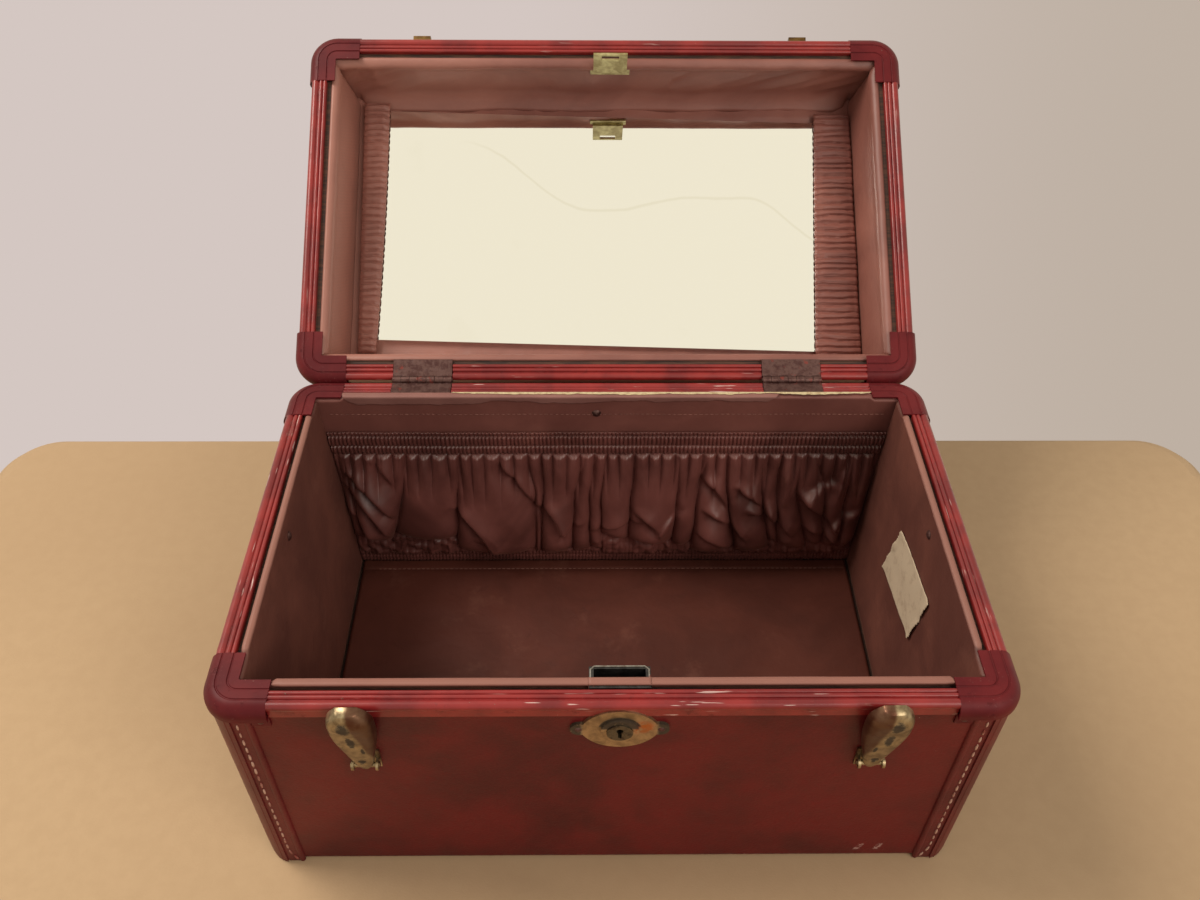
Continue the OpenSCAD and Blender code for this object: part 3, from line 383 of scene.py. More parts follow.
def silvered(name):
    """Mirror glass with one long curved smear, and the faint clouding of an old silvering."""
    f = Finish(name, True)
    path = f.x.step(-85, -10) * 45 - f.x.step(0, 60) * 9 + f.x.step(85, 150) * 42 - 58
    line = (f.y - path + f.noise(30, 2, 0.5) * 6 - 3).abs().step(1.5, 0.2) * f.x.step(-92, -60)
    smear = line * 0.4 + f.noise(40, 3, 0.5).step(0.62, 0.74) * 0.08
    dust = f.noise(1.0, 2).step(0.80, 0.84)
    f.tone((251, 251, 247), (232, 230, 216), smear)
    return f.wear(Roughness=0.02 + smear * 0.05 + dust * 0.3, Metallic=1.0)


def stained_wood(name, on_lid):
    f = Finish(name, on_lid)
    rings = f.noise(1.6, 4, 0.6, 0.6, (0.08, 1.0, 1.0))
    f.tone((84, 52, 36), (44, 26, 20), rings.step(0.38, 0.62))
    return f.wear(Roughness=0.75, Normal=f.bump(rings, 0.12))


def woven_label(name):
    """Undyed woven tape, bare, with grey handling marks."""
    f = Finish(name)
    rows = (f.z * 8.0).sin() * 0.5 + 0.5
    ribs = (f.y * 12.0).sin() * 0.5 + 0.5
    soil = f.noise(9, 5, 0.7).step(0.5, 0.74)
    f.tone((214, 192, 162), (156, 124, 98), soil * 0.55)
    f.darken(0.84 + rows * 0.1 + ribs * 0.1)
    return f.wear(Roughness=0.85, Normal=f.bump(rows * 0.5 + ribs * 0.5, 0.08))


def torn_paper(name):
    f = Finish(name)
    fibre = f.noise(2.4, 6, 0.75)
    f.tone((206, 188, 146), (176, 150, 112), fibre.step(0.42, 0.66))
    return f.wear(Roughness=0.9, Normal=f.bump(fibre, 0.3))


COVER_TONES = ((106, 20, 23), (78, 14, 19), (128, 36, 32))
BINDING_TONES = ((108, 32, 33), (84, 23, 26), (140, 62, 56))
BARE_RAIL = (206, 176, 160)
CAP_TONES = ((106, 32, 34), (86, 23, 27), (160, 128, 118))
DARK_STEEL = ((94, 66, 61), (70, 40, 37), 0.6)
# Dark marks on a latch: beside its middle, above its foot, half width and half height
LATCH_DARK_SPOTS = ((1.8, 42.5, 3.0, 4.6), (1.2, 29.5, 2.0, 6.0), (-2.6, 20.0, 0.9, 3.4), (0.0, 6.8, 2.0, 2.6))


def inside_base(f):
    return f.z.step(4.0, 4.6)


def inside_lid(f):
    return f.z.step(LID_TOP - 4.4, LID_TOP - 5.0)


FINISH = {
    "cover": cover_cloth("cover_base", False, *COVER_TONES, inside_base),
    "cover_lid": cover_cloth("cover_lid", True, *COVER_TONES, inside_lid),
    "binding": cover_cloth("binding_base", False, *BINDING_TONES, None, 0.4),
    "binding_lid": cover_cloth("binding_lid", True, *BINDING_TONES, None, 0.4),
    "grip": cover_cloth("grip_leather", True, (112, 34, 28), (76, 22, 20), (150, 60, 44)),
    "rail_x": enamel("rail_front_back", False, (150, 42, 40), (116, 29, 31), BARE_RAIL, "x", 0.035),
    "rail_y": enamel("rail_sides", False, (148, 42, 39), (114, 29, 30), BARE_RAIL, "y", 0.035),
    "rail_x_lid": enamel("rail_front_back_lid", True, (150, 42, 38), (116, 29, 30), BARE_RAIL, "x", 0.0),
    "rail_y_lid": enamel("rail_sides_lid", True, (150, 42, 38), (116, 29, 30), BARE_RAIL, "y", 0.005),
    "cap": enamel("corner_cap", False, *CAP_TONES, "all", 0.02, 0.1),
    "cap_lid": enamel("corner_cap_lid", True, *CAP_TONES, "all", 0.01, 0.1),
    "brass": old_brass("brass_plate", False, (188, 160, 124), (142, 120, 92), 0.3, True),
    "brass_lid": old_brass("brass_lid", True, (186, 176, 132), (140, 126, 86), 0.1),
    "latch": old_brass("brass_latch", False, (174, 155, 122), (122, 105, 80), 0.7, False, LATCH_DARK_SPOTS),
    "strike": old_brass("brass_strike", True, (120, 92, 52), (82, 58, 34), 0.8),
    "plug": old_steel("lock_plug_metal", False, (104, 92, 72), (62, 50, 40), 0.8),
    "steel_dark": old_steel("steel_dark", False, *DARK_STEEL),
    "steel_dark_lid": old_steel("steel_dark_lid", True, *DARK_STEEL),
    "steel": old_steel("steel_plain", False, (150, 146, 140), (112, 100, 90), 0.95),
    # Painted shadow: the lock case seen down the socket is coloured near black as the socket's shade
    "socket_dark": old_steel("lock_socket_shadow", False, (56, 54, 52), (34, 30, 28), 0.6),
    "lining": satin("lining_base", False, (118, 70, 58), (92, 52, 44), 0.0, 0.5, lip=LIP),
    "lining_lid": satin("lining_lid", True, (149, 95, 82), (125, 76, 66), 0.05, 0.3, 0.4, painted_light_left=0.45),
    "rear": satin("lining_rear", False, (138, 84, 74), (116, 68, 60), 0.0, 0.4),
    "floor": satin("lining_floor", False, (96, 50, 39), (78, 39, 30), 0.0, 0.8, sheen=0.05),
    "pocket": satin("pocket_cloth", False, (124, 72, 65), (84, 45, 40), -0.2, 0.4, 0.8),
    "shirring": satin("shirred_cloth", True, (140, 84, 72), (112, 64, 56), -0.1, 0.3, 0.4, painted_light_left=0.35),
    "loose_edge": satin("loose_lining_edge", False, (150, 104, 94), (128, 84, 76), 0.0, 0.2),
    "thread": thread("stitch_thread", (214, 172, 150), (150, 74, 62)),
    "thread_fine": thread("stitch_thread_fine", (158, 108, 94), (124, 78, 68)),
    "mirror": silvered("mirror_silver"),
    "wood": stained_wood("batten_wood", False),
    "wood_lid": stained_wood("batten_wood_lid", True),
    "label": woven_label("label_cloth"),
    "paper": torn_paper("lining_paper"),
}

# The construction's nodes that take each finish
NODES = {
    "cover": "body_shell", "cover_lid": "lid_shell", "binding": "body_bindings", "binding_lid": "lid_bindings",
    "wood": "body_batten", "wood_lid": "lid_batten",
    "rail_x": "body_rail_front body_rail_rear", "rail_y": "body_rail_left body_rail_right",
    "rail_x_lid": "lid_rail_front lid_rail_rear", "rail_y_lid": "lid_rail_left lid_rail_right",
    "cap": "body_cap_front_left body_cap_front_right body_cap_rear_left body_cap_rear_right",
    "cap_lid": "lid_cap_front_left lid_cap_front_right lid_cap_rear_left lid_cap_rear_right",
    "steel_dark": "body_cap_rivets lining_screws lock_rivets body_hinge_leaves hinge_pins",
    "steel_dark_lid": "lid_cap_rivets lid_hinge_leaves", "brass": "lock_escutcheon",
    "socket_dark": "lock_case", "plug": "lock_plug", "steel": "lock_bolt",
    "latch": "latch_plates latch_pins latch_lever_left latch_lever_right", "strike": "latch_strikes",
    "brass_lid": "catch_plate catch_hasp handle_posts handle_pins handle_end_caps", "mirror": "mirror_glass",
}
for finish_name, node_names in NODES.items():
    for node_name in node_names.split():
        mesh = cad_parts[node_name].data
        mesh.materials.clear()
        mesh.materials.append(FINISH[finish_name])


# Making pieces

def closed_mesh(name, points, faces, smooth):
    """A mesh with its doubles merged and its faces turned outward."""
    mesh = bpy.data.meshes.new(name)
    mesh.from_pydata(points, [], faces)
    tidy = bmesh.new()
    tidy.from_mesh(mesh)
    bmesh.ops.remove_doubles(tidy, verts=tidy.verts, dist=1e-6)
    bmesh.ops.recalc_face_normals(tidy, faces=tidy.faces)
    for face in tidy.faces:
        face.smooth = smooth
    tidy.to_mesh(mesh)
    tidy.free()
    return mesh


def opened(points, on_lid):
    """Points given in millimetres, those of the lid on the closed case, as they stand in the scene."""
    swing = SWING if on_lid else STILL
    return [(swing @ Vector(p)) * INK for p in points]


def piece(name, shape, finish, body, stands_for=(), on_lid=False, smooth=True):
    """A closed piece from points in millimetres and faces; one on the lid is drawn closed, then opened."""
    points, faces = shape
    mesh = closed_mesh(name, opened(points, on_lid), faces, smooth)
    mesh.materials.append(FINISH[finish])
    thing = placed(name, mesh)
    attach(thing, body)
    if stands_for:
        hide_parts(*stands_for)
    return thing


def quads(start, across, down, turned=False):
    """Faces of a grid of points that begins at start."""
    faces = []
    for j in range(down - 1):
        for i in range(across - 1):
            k = start + j * across + i
            face = (k, k + 1, k + across + 1, k + across)
            faces.append((face[0],) + face[:0:-1] if turned else face)
    return faces


def tube(around, rings, ends=True):
    """Faces that join rings of around points, one after the other."""
    faces = [
        (k * around + i, k * around + (i + 1) % around, (k + 1) * around + (i + 1) % around, (k + 1) * around + i)
        for k in range(rings - 1) for i in range(around)
    ]
    faces.append(tuple(range(around)))
    if ends:
        faces.append(tuple((rings - 1) * around + i for i in range(around)))
    return faces


def slab(front, back, columns, rows):
    """Closed grid solid: front and back give the two faces at each column and row."""
    across, down = len(columns), len(rows)
    points = [skin(a, b) for skin in (front, back) for b in rows for a in columns]
    half = across * down
    faces = quads(0, across, down) + quads(half, across, down, True)
    rim = list(range(across))
    rim += [j * across + across - 1 for j in range(1, down)]
    rim += [(down - 1) * across + i for i in range(across - 2, -1, -1)]
    rim += [j * across for j in range(down - 2, 0, -1)]
    faces += [(a, half + a, half + b, b) for a, b in zip(rim, rim[1:] + rim[:1])]
    return points, faces


def two_skins(place, face, behind, columns, rows):
    """Closed grid solid from place(a, b, skin), where skin has one value on the face and one behind it."""
    return slab(lambda a, b: place(a, b, face), lambda a, b: place(a, b, behind), columns, rows)


def shares(count, first=0):
    return [i / count for i in range(first, count + 1)]


def steps(low, high, count, edge=()):
    """Even steps from low to high, with closer ones near both ends."""
    inner = [low + (high - low) * i / count for i in range(count + 1)]
    extra = [low + e for e in edge] + [high - e for e in edge]
    return sorted({round(v, 4) for v in inner + extra})


EDGE = (0.15, 0.4, 0.8, 1.3, 2.0, 3.0)


def ripple(x, y, z, size, seed=0.0):
    return noise.noise(Vector((x / size + seed, y / size + seed * 0.7, z / size - seed)))


def crease(x, y, z, size, seed=0.0):
    """Sharp folds: 1 on a ridge, falling away on both sides."""
    return 1 - min(1.0, 2.2 * abs(ripple(x, y, z, size, seed)))


def dip(value, middle, width):
    return exp(-((value - middle) / width) ** 2)


def clamp(value):
    return min(1.0, max(0.0, value))


def ease(share):
    return share * share * (3 - 2 * share)


def rounded(distance, radius):
    """Share of full thickness at a distance from a rounded edge."""
    if distance >= radius:
        return 1.0
    share = max(0.0, distance) / radius
    return sqrt(max(0.0, 1 - (1 - share) ** 2))


# Linings of the base

def cap_drop(x, limit, high, low):
    """Height of a lip that is high between the caps and lower under them."""
    return high + (low - high) * ease(clamp((abs(x) - limit) / 2.5 + 0.5))


LOW_LIP = BODY_H - 1.45
FOOT = 5.55
LINING_ROWS = (
    0, 0.02, 0.1, 0.2, 0.3, 0.4, 0.5, 0.6, 0.7, 0.8, 0.86, 0.9, 0.93, 0.955, 0.97, 0.98, 0.987, 0.992,
    0.996, 0.9985, 1,
)


def on_long_wall(side):
    """Puts a point that stands out millimetres off the wall behind the front or rear boards."""
    return lambda x, z, out: (x, side * (LINING_Y + BOARD - out), z)


def base_board(half, limit, swell, place, roll):
    """Both faces of a padded board; below is how far a point lies under the board's top edge."""
    def skin(a, v, behind):
        top = cap_drop(a, limit, LIP, LOW_LIP)
        z = FOOT + (top - FOOT) * v
        below = top - z
        if behind:
            return place(a, z, -roll(a, z, below))
        near = min(half - abs(a), below, z - FOOT + 1.5)
        puff = max(-0.3, min(0.12, swell(a, z, below) - 0.3)) * rounded(near, 12)
        return place(a, z, BOARD * rounded(near, 1.5) + puff)

    return lambda columns, rows: two_skins(skin, False, True, columns, rows)


def long_lining(name, node, side):
    """Front or rear board, covered in cloth that is turned over its top edge."""
    half = BOARD_HALF

    def swell(x, z, below):
        return 0.35 * ripple(x, 0, z, 38, side) + 0.22 * crease(x, z * 0.4, 0, 21, side + 3) * rounded(below, 40)

    def roll(x, z, below):
        hinge_gap = abs(abs(x) - HINGE_X) - 20 if side > 0 else 3
        clear = rounded(min(RAIL_END - abs(x), hinge_gap), 3)
        return 1.3 * rounded(z - LIP + 2.2, 1.6) * clear * rounded(below + 0.1, 0.9)

    board = base_board(half, RAIL_END, swell, on_long_wall(side), roll)
    if side > 0:
        return piece(name, board(steps(-half, half, 110, EDGE), LINING_ROWS), "rear", "base", (node,))
    left, right = FITTINGS_X - SOCKET_HALF, FITTINGS_X + SOCKET_HALF
    under_top = (109.4 - FOOT) / (LIP - FOOT)
    points, faces = [], []
    for columns, rows in (
        (steps(-half, left, 50, EDGE), LINING_ROWS), (steps(right, half, 50, EDGE), LINING_ROWS),
        (steps(left + 0.02, right - 0.02, 8), [under_top * i / 8 for i in range(9)]),
    ):
        start = len(points)
        extra, extra_faces = board(columns, rows)
        points += extra
        faces += [tuple(k + start for k in face) for face in extra_faces]
    return piece(name, (points, faces), "lining", "base", (node,))


def side_lining(name, node, side):
    half = LINING_Y - 0.25

    def swell(y, z, below):
        return 0.35 * ripple(0, y, z, 34, side + 5) + 0.25 * crease(0, y, z * 0.5, 17, side + 9)

    def place(y, z, out):
        return (side * (LINING_X - (LIP - z) * WALL_LEAN + BOARD - out), y, z)

    board = base_board(half, 75.0, swell, place, lambda y, z, below: 0.0)
    return piece(name, board(steps(-half, half, 70, EDGE), LINING_ROWS), "lining", "base", (node,))


for make, place, side in (
    (long_lining, "front", -1), (long_lining, "rear", 1), (side_lining, "left", -1), (side_lining, "right", 1),
):
    make(place + "_lining_cloth", place + "_lining", side)


# Floor pad: a thin wadded board with a sewn channel and slack corners

def floor_cushion():
    half_x, half_y, seam_in = 149.4, 87.0, 8.5

    def front(x, y):
        near = min(half_x - abs(x), half_y - abs(y))
        seam = dip(half_y - y, seam_in, 1.1)
        pucker = 0.35 * sin(x * 0.9 + 2 * ripple(x, y, 0, 9)) * dip(half_y - y, seam_in, 4)
        crown = 0.55 * rounded(near, 40) + 0.3 * ripple(x, y, 0, 30, 2) + 0.22 * crease(x, y, 0, 24, 7)
        z = 5.1 + 2.35 * rounded(near, 2.2) + crown - 0.55 * seam + pucker * 0.4
        return (x, y, z)

    def back(x, y):
        return (x, y, 5.05)

    close = EDGE + (6, 7, 8, 9, 10)
    shape = slab(front, back, steps(-half_x, half_x, 150, close), steps(-half_y, half_y, 88, close))
    return piece("floor_pad_cloth", shape, "floor", "base", ("floor_pad",))


floor_cushion()


# Gathered pocket on the rear lining

POCKET_TOP = BODY_H - 23
BAND_LOW = POCKET_TOP - 17
POUCH_LOW = 18.0


def side_limit(z):
    return LINING_X - (BODY_H - z) * WALL_LEAN - 0.7


def gathers(x, z, pitch, seed):
    """Uneven fine gathers along x: 0 in a crease, 1 on a fold."""
    warped = x + 0.5 * ripple(x, 0, z * 0.3, 7, seed) + 0.25 * ripple(x, 0, z, 2.6, seed + 4)
    phase = pi * warped / pitch
    return abs(sin(phase)) ** 0.7 * (0.86 + 0.28 * ripple(x, 0, 0, pitch * 1.7, seed + 9))


def top_band():
    """Shirred edge: a ruffle, a wide row of ribs, a stitch line and a short row of ribs."""
    low, high = BAND_LOW + 0.3, POCKET_TOP - 0.1
    ruffle_z, stitch_z, foot_z = 113.0, 105.2, 98.6

    def out_at(x, z):
        rib = gathers(x, z, 2.25, 1)
        if z > ruffle_z:
            body = 1.7 + 1.2 * rib
        elif z > stitch_z:
            body = 1.3 + 2.1 * rib * sin(pi * (z - stitch_z) / 7.8) ** 0.35
        else:
            body = 1.1 + 1.7 * rib * max(0.05, sin(pi * min(1.0, (z - foot_z) / 6.6))) ** 0.4
        pressed = 1.1 * dip(z, 113.1, 0.5) + 1.5 * dip(z, stitch_z, 0.6) + 0.5 * dip(z, 100.2, 0.5)
        return min(4.0, max(0.75, body - pressed + 0.35 * ripple(x, z, 0, 19, 3) + 0.2 * ripple(x, z, 0, 5)))

    def place(u, v, skin):
        z = low + (high - low) * v
        x = u * side_limit(z)
        wave = 0.55 * ripple(x, 0, 0, 60, 12)
        ruffle = (0.7 * gathers(x, z, 2.25, 1) - 0.55) if v > 0.97 else 0.0
        return (x, CLOTH_Y - (out_at(x, z) - skin), z + wave * dip(z, 108, 8) + ruffle)

    shape = two_skins(place, 0, 0.6, shares(510, -510), shares(26))
    return piece("pocket_top_shirring", shape, "pocket", "base", ("pocket_top_band",))


def bottom_band():
    low, tall = 8.3, 9.4

    def place(u, v, skin):
        z = low + tall * v
        x = u * side_limit(z)
        pressed = max(dip(v, at, 0.07) for at in (0.12, 0.5, 0.88))
        out = 1.1 + (0.5 + 1.3 * gathers(x, z, 2.05, 5)) * (1 - 0.55 * pressed) + 0.3 * ripple(x, z, 0, 14)
        return (x, CLOTH_Y - (min(4.0, max(0.75, out)) - skin), z)

    shape = two_skins(place, 0, 0.6, shares(450, -450), shares(12))
    return piece("pocket_bottom_shirring", shape, "pocket", "base", ("pocket_bottom_band",))


FOLD_HEIGHTS = (33.0, 72.0, 100.0)
FOLD_APART = 2.2
# Valleys between the folds of the pouch, left to right: x at each of those heights
FOLDS = (
    (-145.0, -147.5, -148.0), (-126.9, -117.1, -113.4), (-88.8, -86.3, -82.8), (-42.0, -41.0, -47.0),
    (-38.4, -36.7, -36.8), (-19.9, -18.6, -11.2), (-9.6, -9.6, -4.6), (-2.4, -2.7, 0.6), (13.8, 14.1, 16.5),
    (40.4, 40.9, 40.6), (52.1, 52.7, 57.6), (76.6, 69.7, 67.8), (97.3, 90.0, 87.4), (103.4, 98.6, 98.7),
    (119.0, 109.2, 109.0), (130.2, 126.3, 117.2), (140.2, 139.2, 139.9),
)
# Height at which each fold turns under, from the left wall to the right wall
FOLD_ENDS = (30, 31, 35, 22, 19, 20, 20, 20, 34, 31, 27, 22, 21, 26, 24, 27, 26, 24)
# Slanting tucks: x and z of both ends, then how high the upper side stands
TUCKS = (
    (-147.3, 84.9, -125.5, 57.6, 2.6), (-148.0, 72.8, -129.4, 42.5, 2.8), (-151.3, 57.6, -141.1, 36.4, 2.2),
    (-135.2, 97.0, -122.8, 80.4, 1.4), (-86.8, 58.6, -68.2, 30.4, 3.4), (-61.6, 94.0, -40.2, 60.7, 2.4),
    (-74.9, 32.4, -68.1, 20.7, 1.8), (-35.9, 60.7, -25.9, 41.5, 2.4), (-25.9, 40.5, -18.2, 46.5, 2.0),
    (-5.1, 42.5, 17.4, 50.0, 2.2), (-4.5, 28.9, 3.9, 19.8, 2.0), (19.3, 56.6, 30.0, 44.0, 2.4),
    (30.0, 43.0, 42.8, 57.6, -1.2), (56.4, 80.8, 70.4, 60.7, 2.4), (60.1, 57.6, 80.1, 39.5, 2.6),
    (77.2, 74.8, 96.2, 54.6, 2.6), (84.9, 57.6, 107.1, 42.5, 2.8), (55.8, 39.5, 75.4, 25.8, 1.8),
    (112.8, 68.8, 131.8, 78.8, -1.3), (113.4, 67.7, 135.7, 42.5, 2.8), (131.1, 47.5, 149.5, 57.6, -1.2),
    (119.2, 43.5, 140.2, 27.3, 2.2), (96.7, 94.0, 101.6, 66.7, 2.0), (132.9, 69.8, 136.7, 94.0, -1.6),
)


def fold_lines(z):
    """Where the valleys run at a height, kept a little apart, with the side walls as the first and last."""
    limit = side_limit(z)
    low_z, middle_z, high_z = FOLD_HEIGHTS
    lines = [-limit]
    for k, (low, middle, high) in enumerate(FOLDS):
        if z < middle_z:
            share = max(-0.25, (z - low_z) / (middle_z - low_z))
            x = low + (middle - low) * share
        else:
            x = middle + (high - middle) * min(1.0, (z - middle_z) / (high_z - middle_z))
        x += 1.1 * ripple(k * 7.3, z, 0, 19, 2)
        lines.append(max(lines[-1] + FOLD_APART, x))
    lines.append(limit)
    for k in range(len(lines) - 2, 0, -1):
        lines[k] = min(lines[k], lines[k + 1] - FOLD_APART)
    return lines


def tuck_height(x, z):
    """Sum of the slanting tucks: each is a step that dies away on both sides and at its ends."""
    total = 0.0
    for ax, az, bx, bz, rise in TUCKS:
        dx, dz = bx - ax, bz - az
        length = hypot(dx, dz)
        along = ((x - ax) * dx + (z - az) * dz) / length
        if along < -6 or along > length + 6:
            continue
        bow = 1.6 * sin(pi * along / length)
        off = ((x - ax) * -dz + (z - az) * dx) / length - bow
        if abs(off) > 16:
            continue
        ends = clamp((along + 6) / 9) * clamp((length + 6 - along) / 9)
        total += rise * ends * tanh(off / 1.1) * exp(-((off / 7.5) ** 2))
    return total


def pouch_out(x, z, lines):
    """How far the gathered pouch stands off the lining."""
    k = 0
    while k < len(lines) - 2 and x > lines[k + 1]:
        k += 1
    width = max(0.5, lines[k + 1] - lines[k])
    across = clamp((x - lines[k]) / width)
    end = FOLD_ENDS[k] + 2.0 * sin(3.0 * across + k)
    deep = min(1.0, 0.36 + width / 34.0)
    arch = (4 * across * (1 - across)) ** 0.42
    fall = (BAND_LOW - z) / (BAND_LOW - end)
    if fall < 0.84:
        hang = 0.10 + 0.90 * sin(pi / 2 * clamp(fall / 0.84)) ** 1.05
    elif fall < 1.0:
        hang = 0.18 + 0.82 * sqrt(max(0.0, 1 - ((fall - 0.84) / 0.16) ** 2))
    else:
        hang = 0.18
    out = 1.3 + 12.4 * deep * hang * (0.16 + 0.84 * arch)
    near_band = max(0.0, 1 - max(0.0, fall) / 0.48)
    pleat = x + 2.2 * ripple(x, 0, 0, 16, 4) + 0.10 * (z - 96) * ripple(x, 0, 0, 30, 14)
    pleat = abs(sin(pi * pleat / 7.6))
    out += 6.0 * near_band ** 1.2 * (pleat ** 0.7 - 0.60) * (1 - 0.45 * near_band ** 5)
    out += near_band ** 4 * 0.9 * (gathers(x, z, 3.1, 2) - 0.5)
    if fall < 1.0:
        inside = clamp(fall * 5) * min(1.0, (1 - fall) * 8)
        out += 1.45 * tuck_height(x, z) * inside * (0.35 + 0.65 * arch)
        out += 0.7 * ripple(x, z, 0, 21, 30) + 0.35 * crease(x + 0.5 * z, z * 0.5, 0, 15, 37)
    else:
        tail = min(1.0, (fall - 1.0) / 0.08)
        out += tail * (2.6 * crease(x, z * 1.3, 0, 9.5, 41) + 0.8 * gathers(x, z, 4.0, 6))
    return out


def pouch_cloth():
    low, high = POUCH_LOW - 0.2, BAND_LOW + 0.25
    rows = shares(60)
    ready = {v: fold_lines(low + (high - low) * v) for v in rows}
    found = {}

    def place(u, v, skin):
        if (u, v) not in found:
            z = low + (high - low) * v
            x = u * side_limit(z)
            out = pouch_out(x, z, ready[v]) * (0.35 + 0.65 * rounded((1 - abs(u)) * 150, 12))
            out = out + (0.95 - out) * ease(clamp(z - BAND_LOW + 1.0))
            sag = ripple(x, 0, v * 50, 17, 40) * sin(pi * v)
            found[(u, v)] = (x, min(16.6, max(0.95, out)), z + sag)
        x, out, z = found[(u, v)]
        return (x, CLOTH_Y - (out - skin), z)

    shape = two_skins(place, 0, 0.8, shares(395, -395), rows)
    return piece("pocket_pouch_cloth", shape, "pocket", "base", ("pocket_pouch",))


top_band()
bottom_band()
pouch_cloth()


# Lid linings, drawn with the lid closed: z is height above the table

LID_LIP = 141.8
MIRROR_BOARD = 183.3
MIRROR_Z = 180.3
LID_LEAN = tan(radians(7))


def lid_board(name, node, half, columns, rows, out_at, place):
    """One wall of the lid: out_at is how far its face stands off the wall at (a, z), v of the way up."""
    def skin(a, v, behind):
        z = LID_LIP + (MIRROR_BOARD - LID_LIP) * v
        return place(a, z, 0 if behind else out_at(a, z, v))

    heights = [0, 0.008, 0.02, 0.04, 0.07] + [0.1 + 0.9 * i / rows for i in range(rows + 1)]
    shape = two_skins(skin, False, True, steps(-half, half, columns, EDGE), heights)
    return piece(name, shape, "lining_lid", "lid", (node,), True)


def lid_long_lining(name, node, side):
    """Front or rear wall of the lid, in slack satin with a rolled lip and long soft wrinkles."""
    half = BOARD_HALF
    slack = 1.0 if side < 0 else 0.5

    def out_at(x, z, v):
        near = min(half - abs(x), z - LID_LIP)
        pull = sin(pi * min(1, v * 1.05)) * rounded(near, 12)
        lean = x + (z - LID_LIP) * (1.7 if x > 40 else 0.5)
        wide = ripple(lean, 0, z * 0.5, 30, side + 2)
        drawn = crease(lean + 5 * ripple(x, 0, z, 26, side), 0, z * 0.45, 22, side + 2)
        corner = exp(-((abs(x) - 140) / 26) ** 2)
        fan = sin((x - 128 * copysign(1, x)) * 0.32 + z * 0.55) * corner * 0.6
        roll = (2.4 if side < 0 else 1.4) * dip(z, LID_LIP + 3.0, 3.0) * rounded(near, 2.5)
        cove = 0.0
        if side < 0 and z > 172:
            cove = (9.5 + 2.0 * ripple(x, 0, 0, 34, 5)) * ((z - 172) / 11.3) ** 2.2 * rounded(150 - abs(x), 12)
        folds = slack * (2.0 * wide + drawn - 0.5 + fan) * pull
        return max(0.4, BOARD * rounded(near + 0.2, 2.4) + folds + roll + cove)

    return lid_board(name, node, half, 220, 24, out_at, on_long_wall(side))


def lid_side_lining(name, node, side):
    """Padded end board of the lid; the cloth is slack round its front end."""
    half = LINING_Y - 0.25

    def out_at(y, z, v):
        near = min(half - abs(y), z - LID_LIP)
        slack = rounded(half + y + 0.3, 9.0) if y < 0 else 1.0
        wave = 0.35 * crease(0, y, z * 0.4, 30, side + 4) + 0.4 * ripple(0, y, z, 36, side + 6)
        roll = 1.1 * dip(z, LID_LIP + 3.0, 3.0)
        return max(0.3, BOARD * rounded(near + 0.2, 2.2) * slack + (wave * 0.7 + roll) * rounded(near, 10))

    def place(y, z, out):
        return (side * (LINING_X - (z - LID_LIP) * LID_LEAN + BOARD - out), y, z)

    return lid_board(name, node, half, 90, 16, out_at, place)


def lid_back_cloth():
    """Cloth over the board behind the mirror, slack along the mirror's edges."""
    half_x, half_y = 155.6, 91.1

    def front(x, y):
        slack = 0.35 + 0.35 * ripple(x, y, 0, 22, 3) + 0.5 * crease(x, y, 0, 16, 9) * rounded(abs(y) - 72, 10)
        inside = 0.0 if abs(y + 0.5) < 74 and abs(x) < 139.5 else 1.0
        return (x, y, MIRROR_BOARD - max(0.0, slack) * inside)

    def back(x, y):
        return (x, y, MIRROR_BOARD + 2.0)

    shape = slab(front, back, steps(-half_x, half_x, 130), steps(-half_y, half_y, 90))
    return piece("mirror_board_cloth", shape, "lining_lid", "lid", ("mirror_board",), True)


def shirred_end(name, node, side):
    """Elastic pocket that grips one end of the mirror, drawn into many narrow puffs."""
    front_y, rear_y = (-82.5, 76.5) if side < 0 else (-76.0, 79.5)

    def edges(y):
        share = (y + 80) / 155
        if side < 0:
            inner = 132.0 + 3.7 * share - 1.4 * sin(pi * clamp(share * 0.8))
            return inner, 147.3 - 1.9 * share
        return 128.7 - 5.0 * share, 150.3 + 0.2 * sin(y / 9)

    def place(u, w, skin):
        y = front_y + (rear_y - front_y) * u
        inner, outer = edges(y)
        width = outer - inner
        warped = y + 1.5 * ripple(w * width * 0.35, y, 0, 8, side + 5) + 0.7 * ripple(w * width, y, 0, 3, side + 8)
        puff = abs(sin(pi * warped / 4.3)) ** 0.5
        small = abs(sin(pi * (warped + 1.1) / 1.9)) ** 0.6
        seam = 0.45 * dip(w, 0.90, 0.05) + 0.3 * dip(w, 0.10, 0.05)
        rim = min(w, 1 - w) * width
        ends = rounded(min(y - front_y, rear_y - y) + 0.2, 4.0)
        out = (1.1 + 2.0 * puff * (1 - seam) + 0.35 * small) * rounded(rim + 0.15, 2.6) * ends + 0.75
        scallop = (0.5 * puff - 0.25) * (1 if w > 0.5 else -0.6) * abs(2 * w - 1) ** 3
        x = outer - width * w - scallop
        return (side * x, y, MIRROR_Z - 0.2 - (min(4.1, out) - skin))

    rows = [0, 0.02, 0.05, 0.09, 0.14, 0.2, 0.28, 0.36, 0.44, 0.52, 0.6, 0.68, 0.76, 0.83, 0.89, 0.93, 0.96, 0.985, 1]
    return piece(name, two_skins(place, 0, 0.6, shares(520), rows), "shirring", "lid", (node,), True)


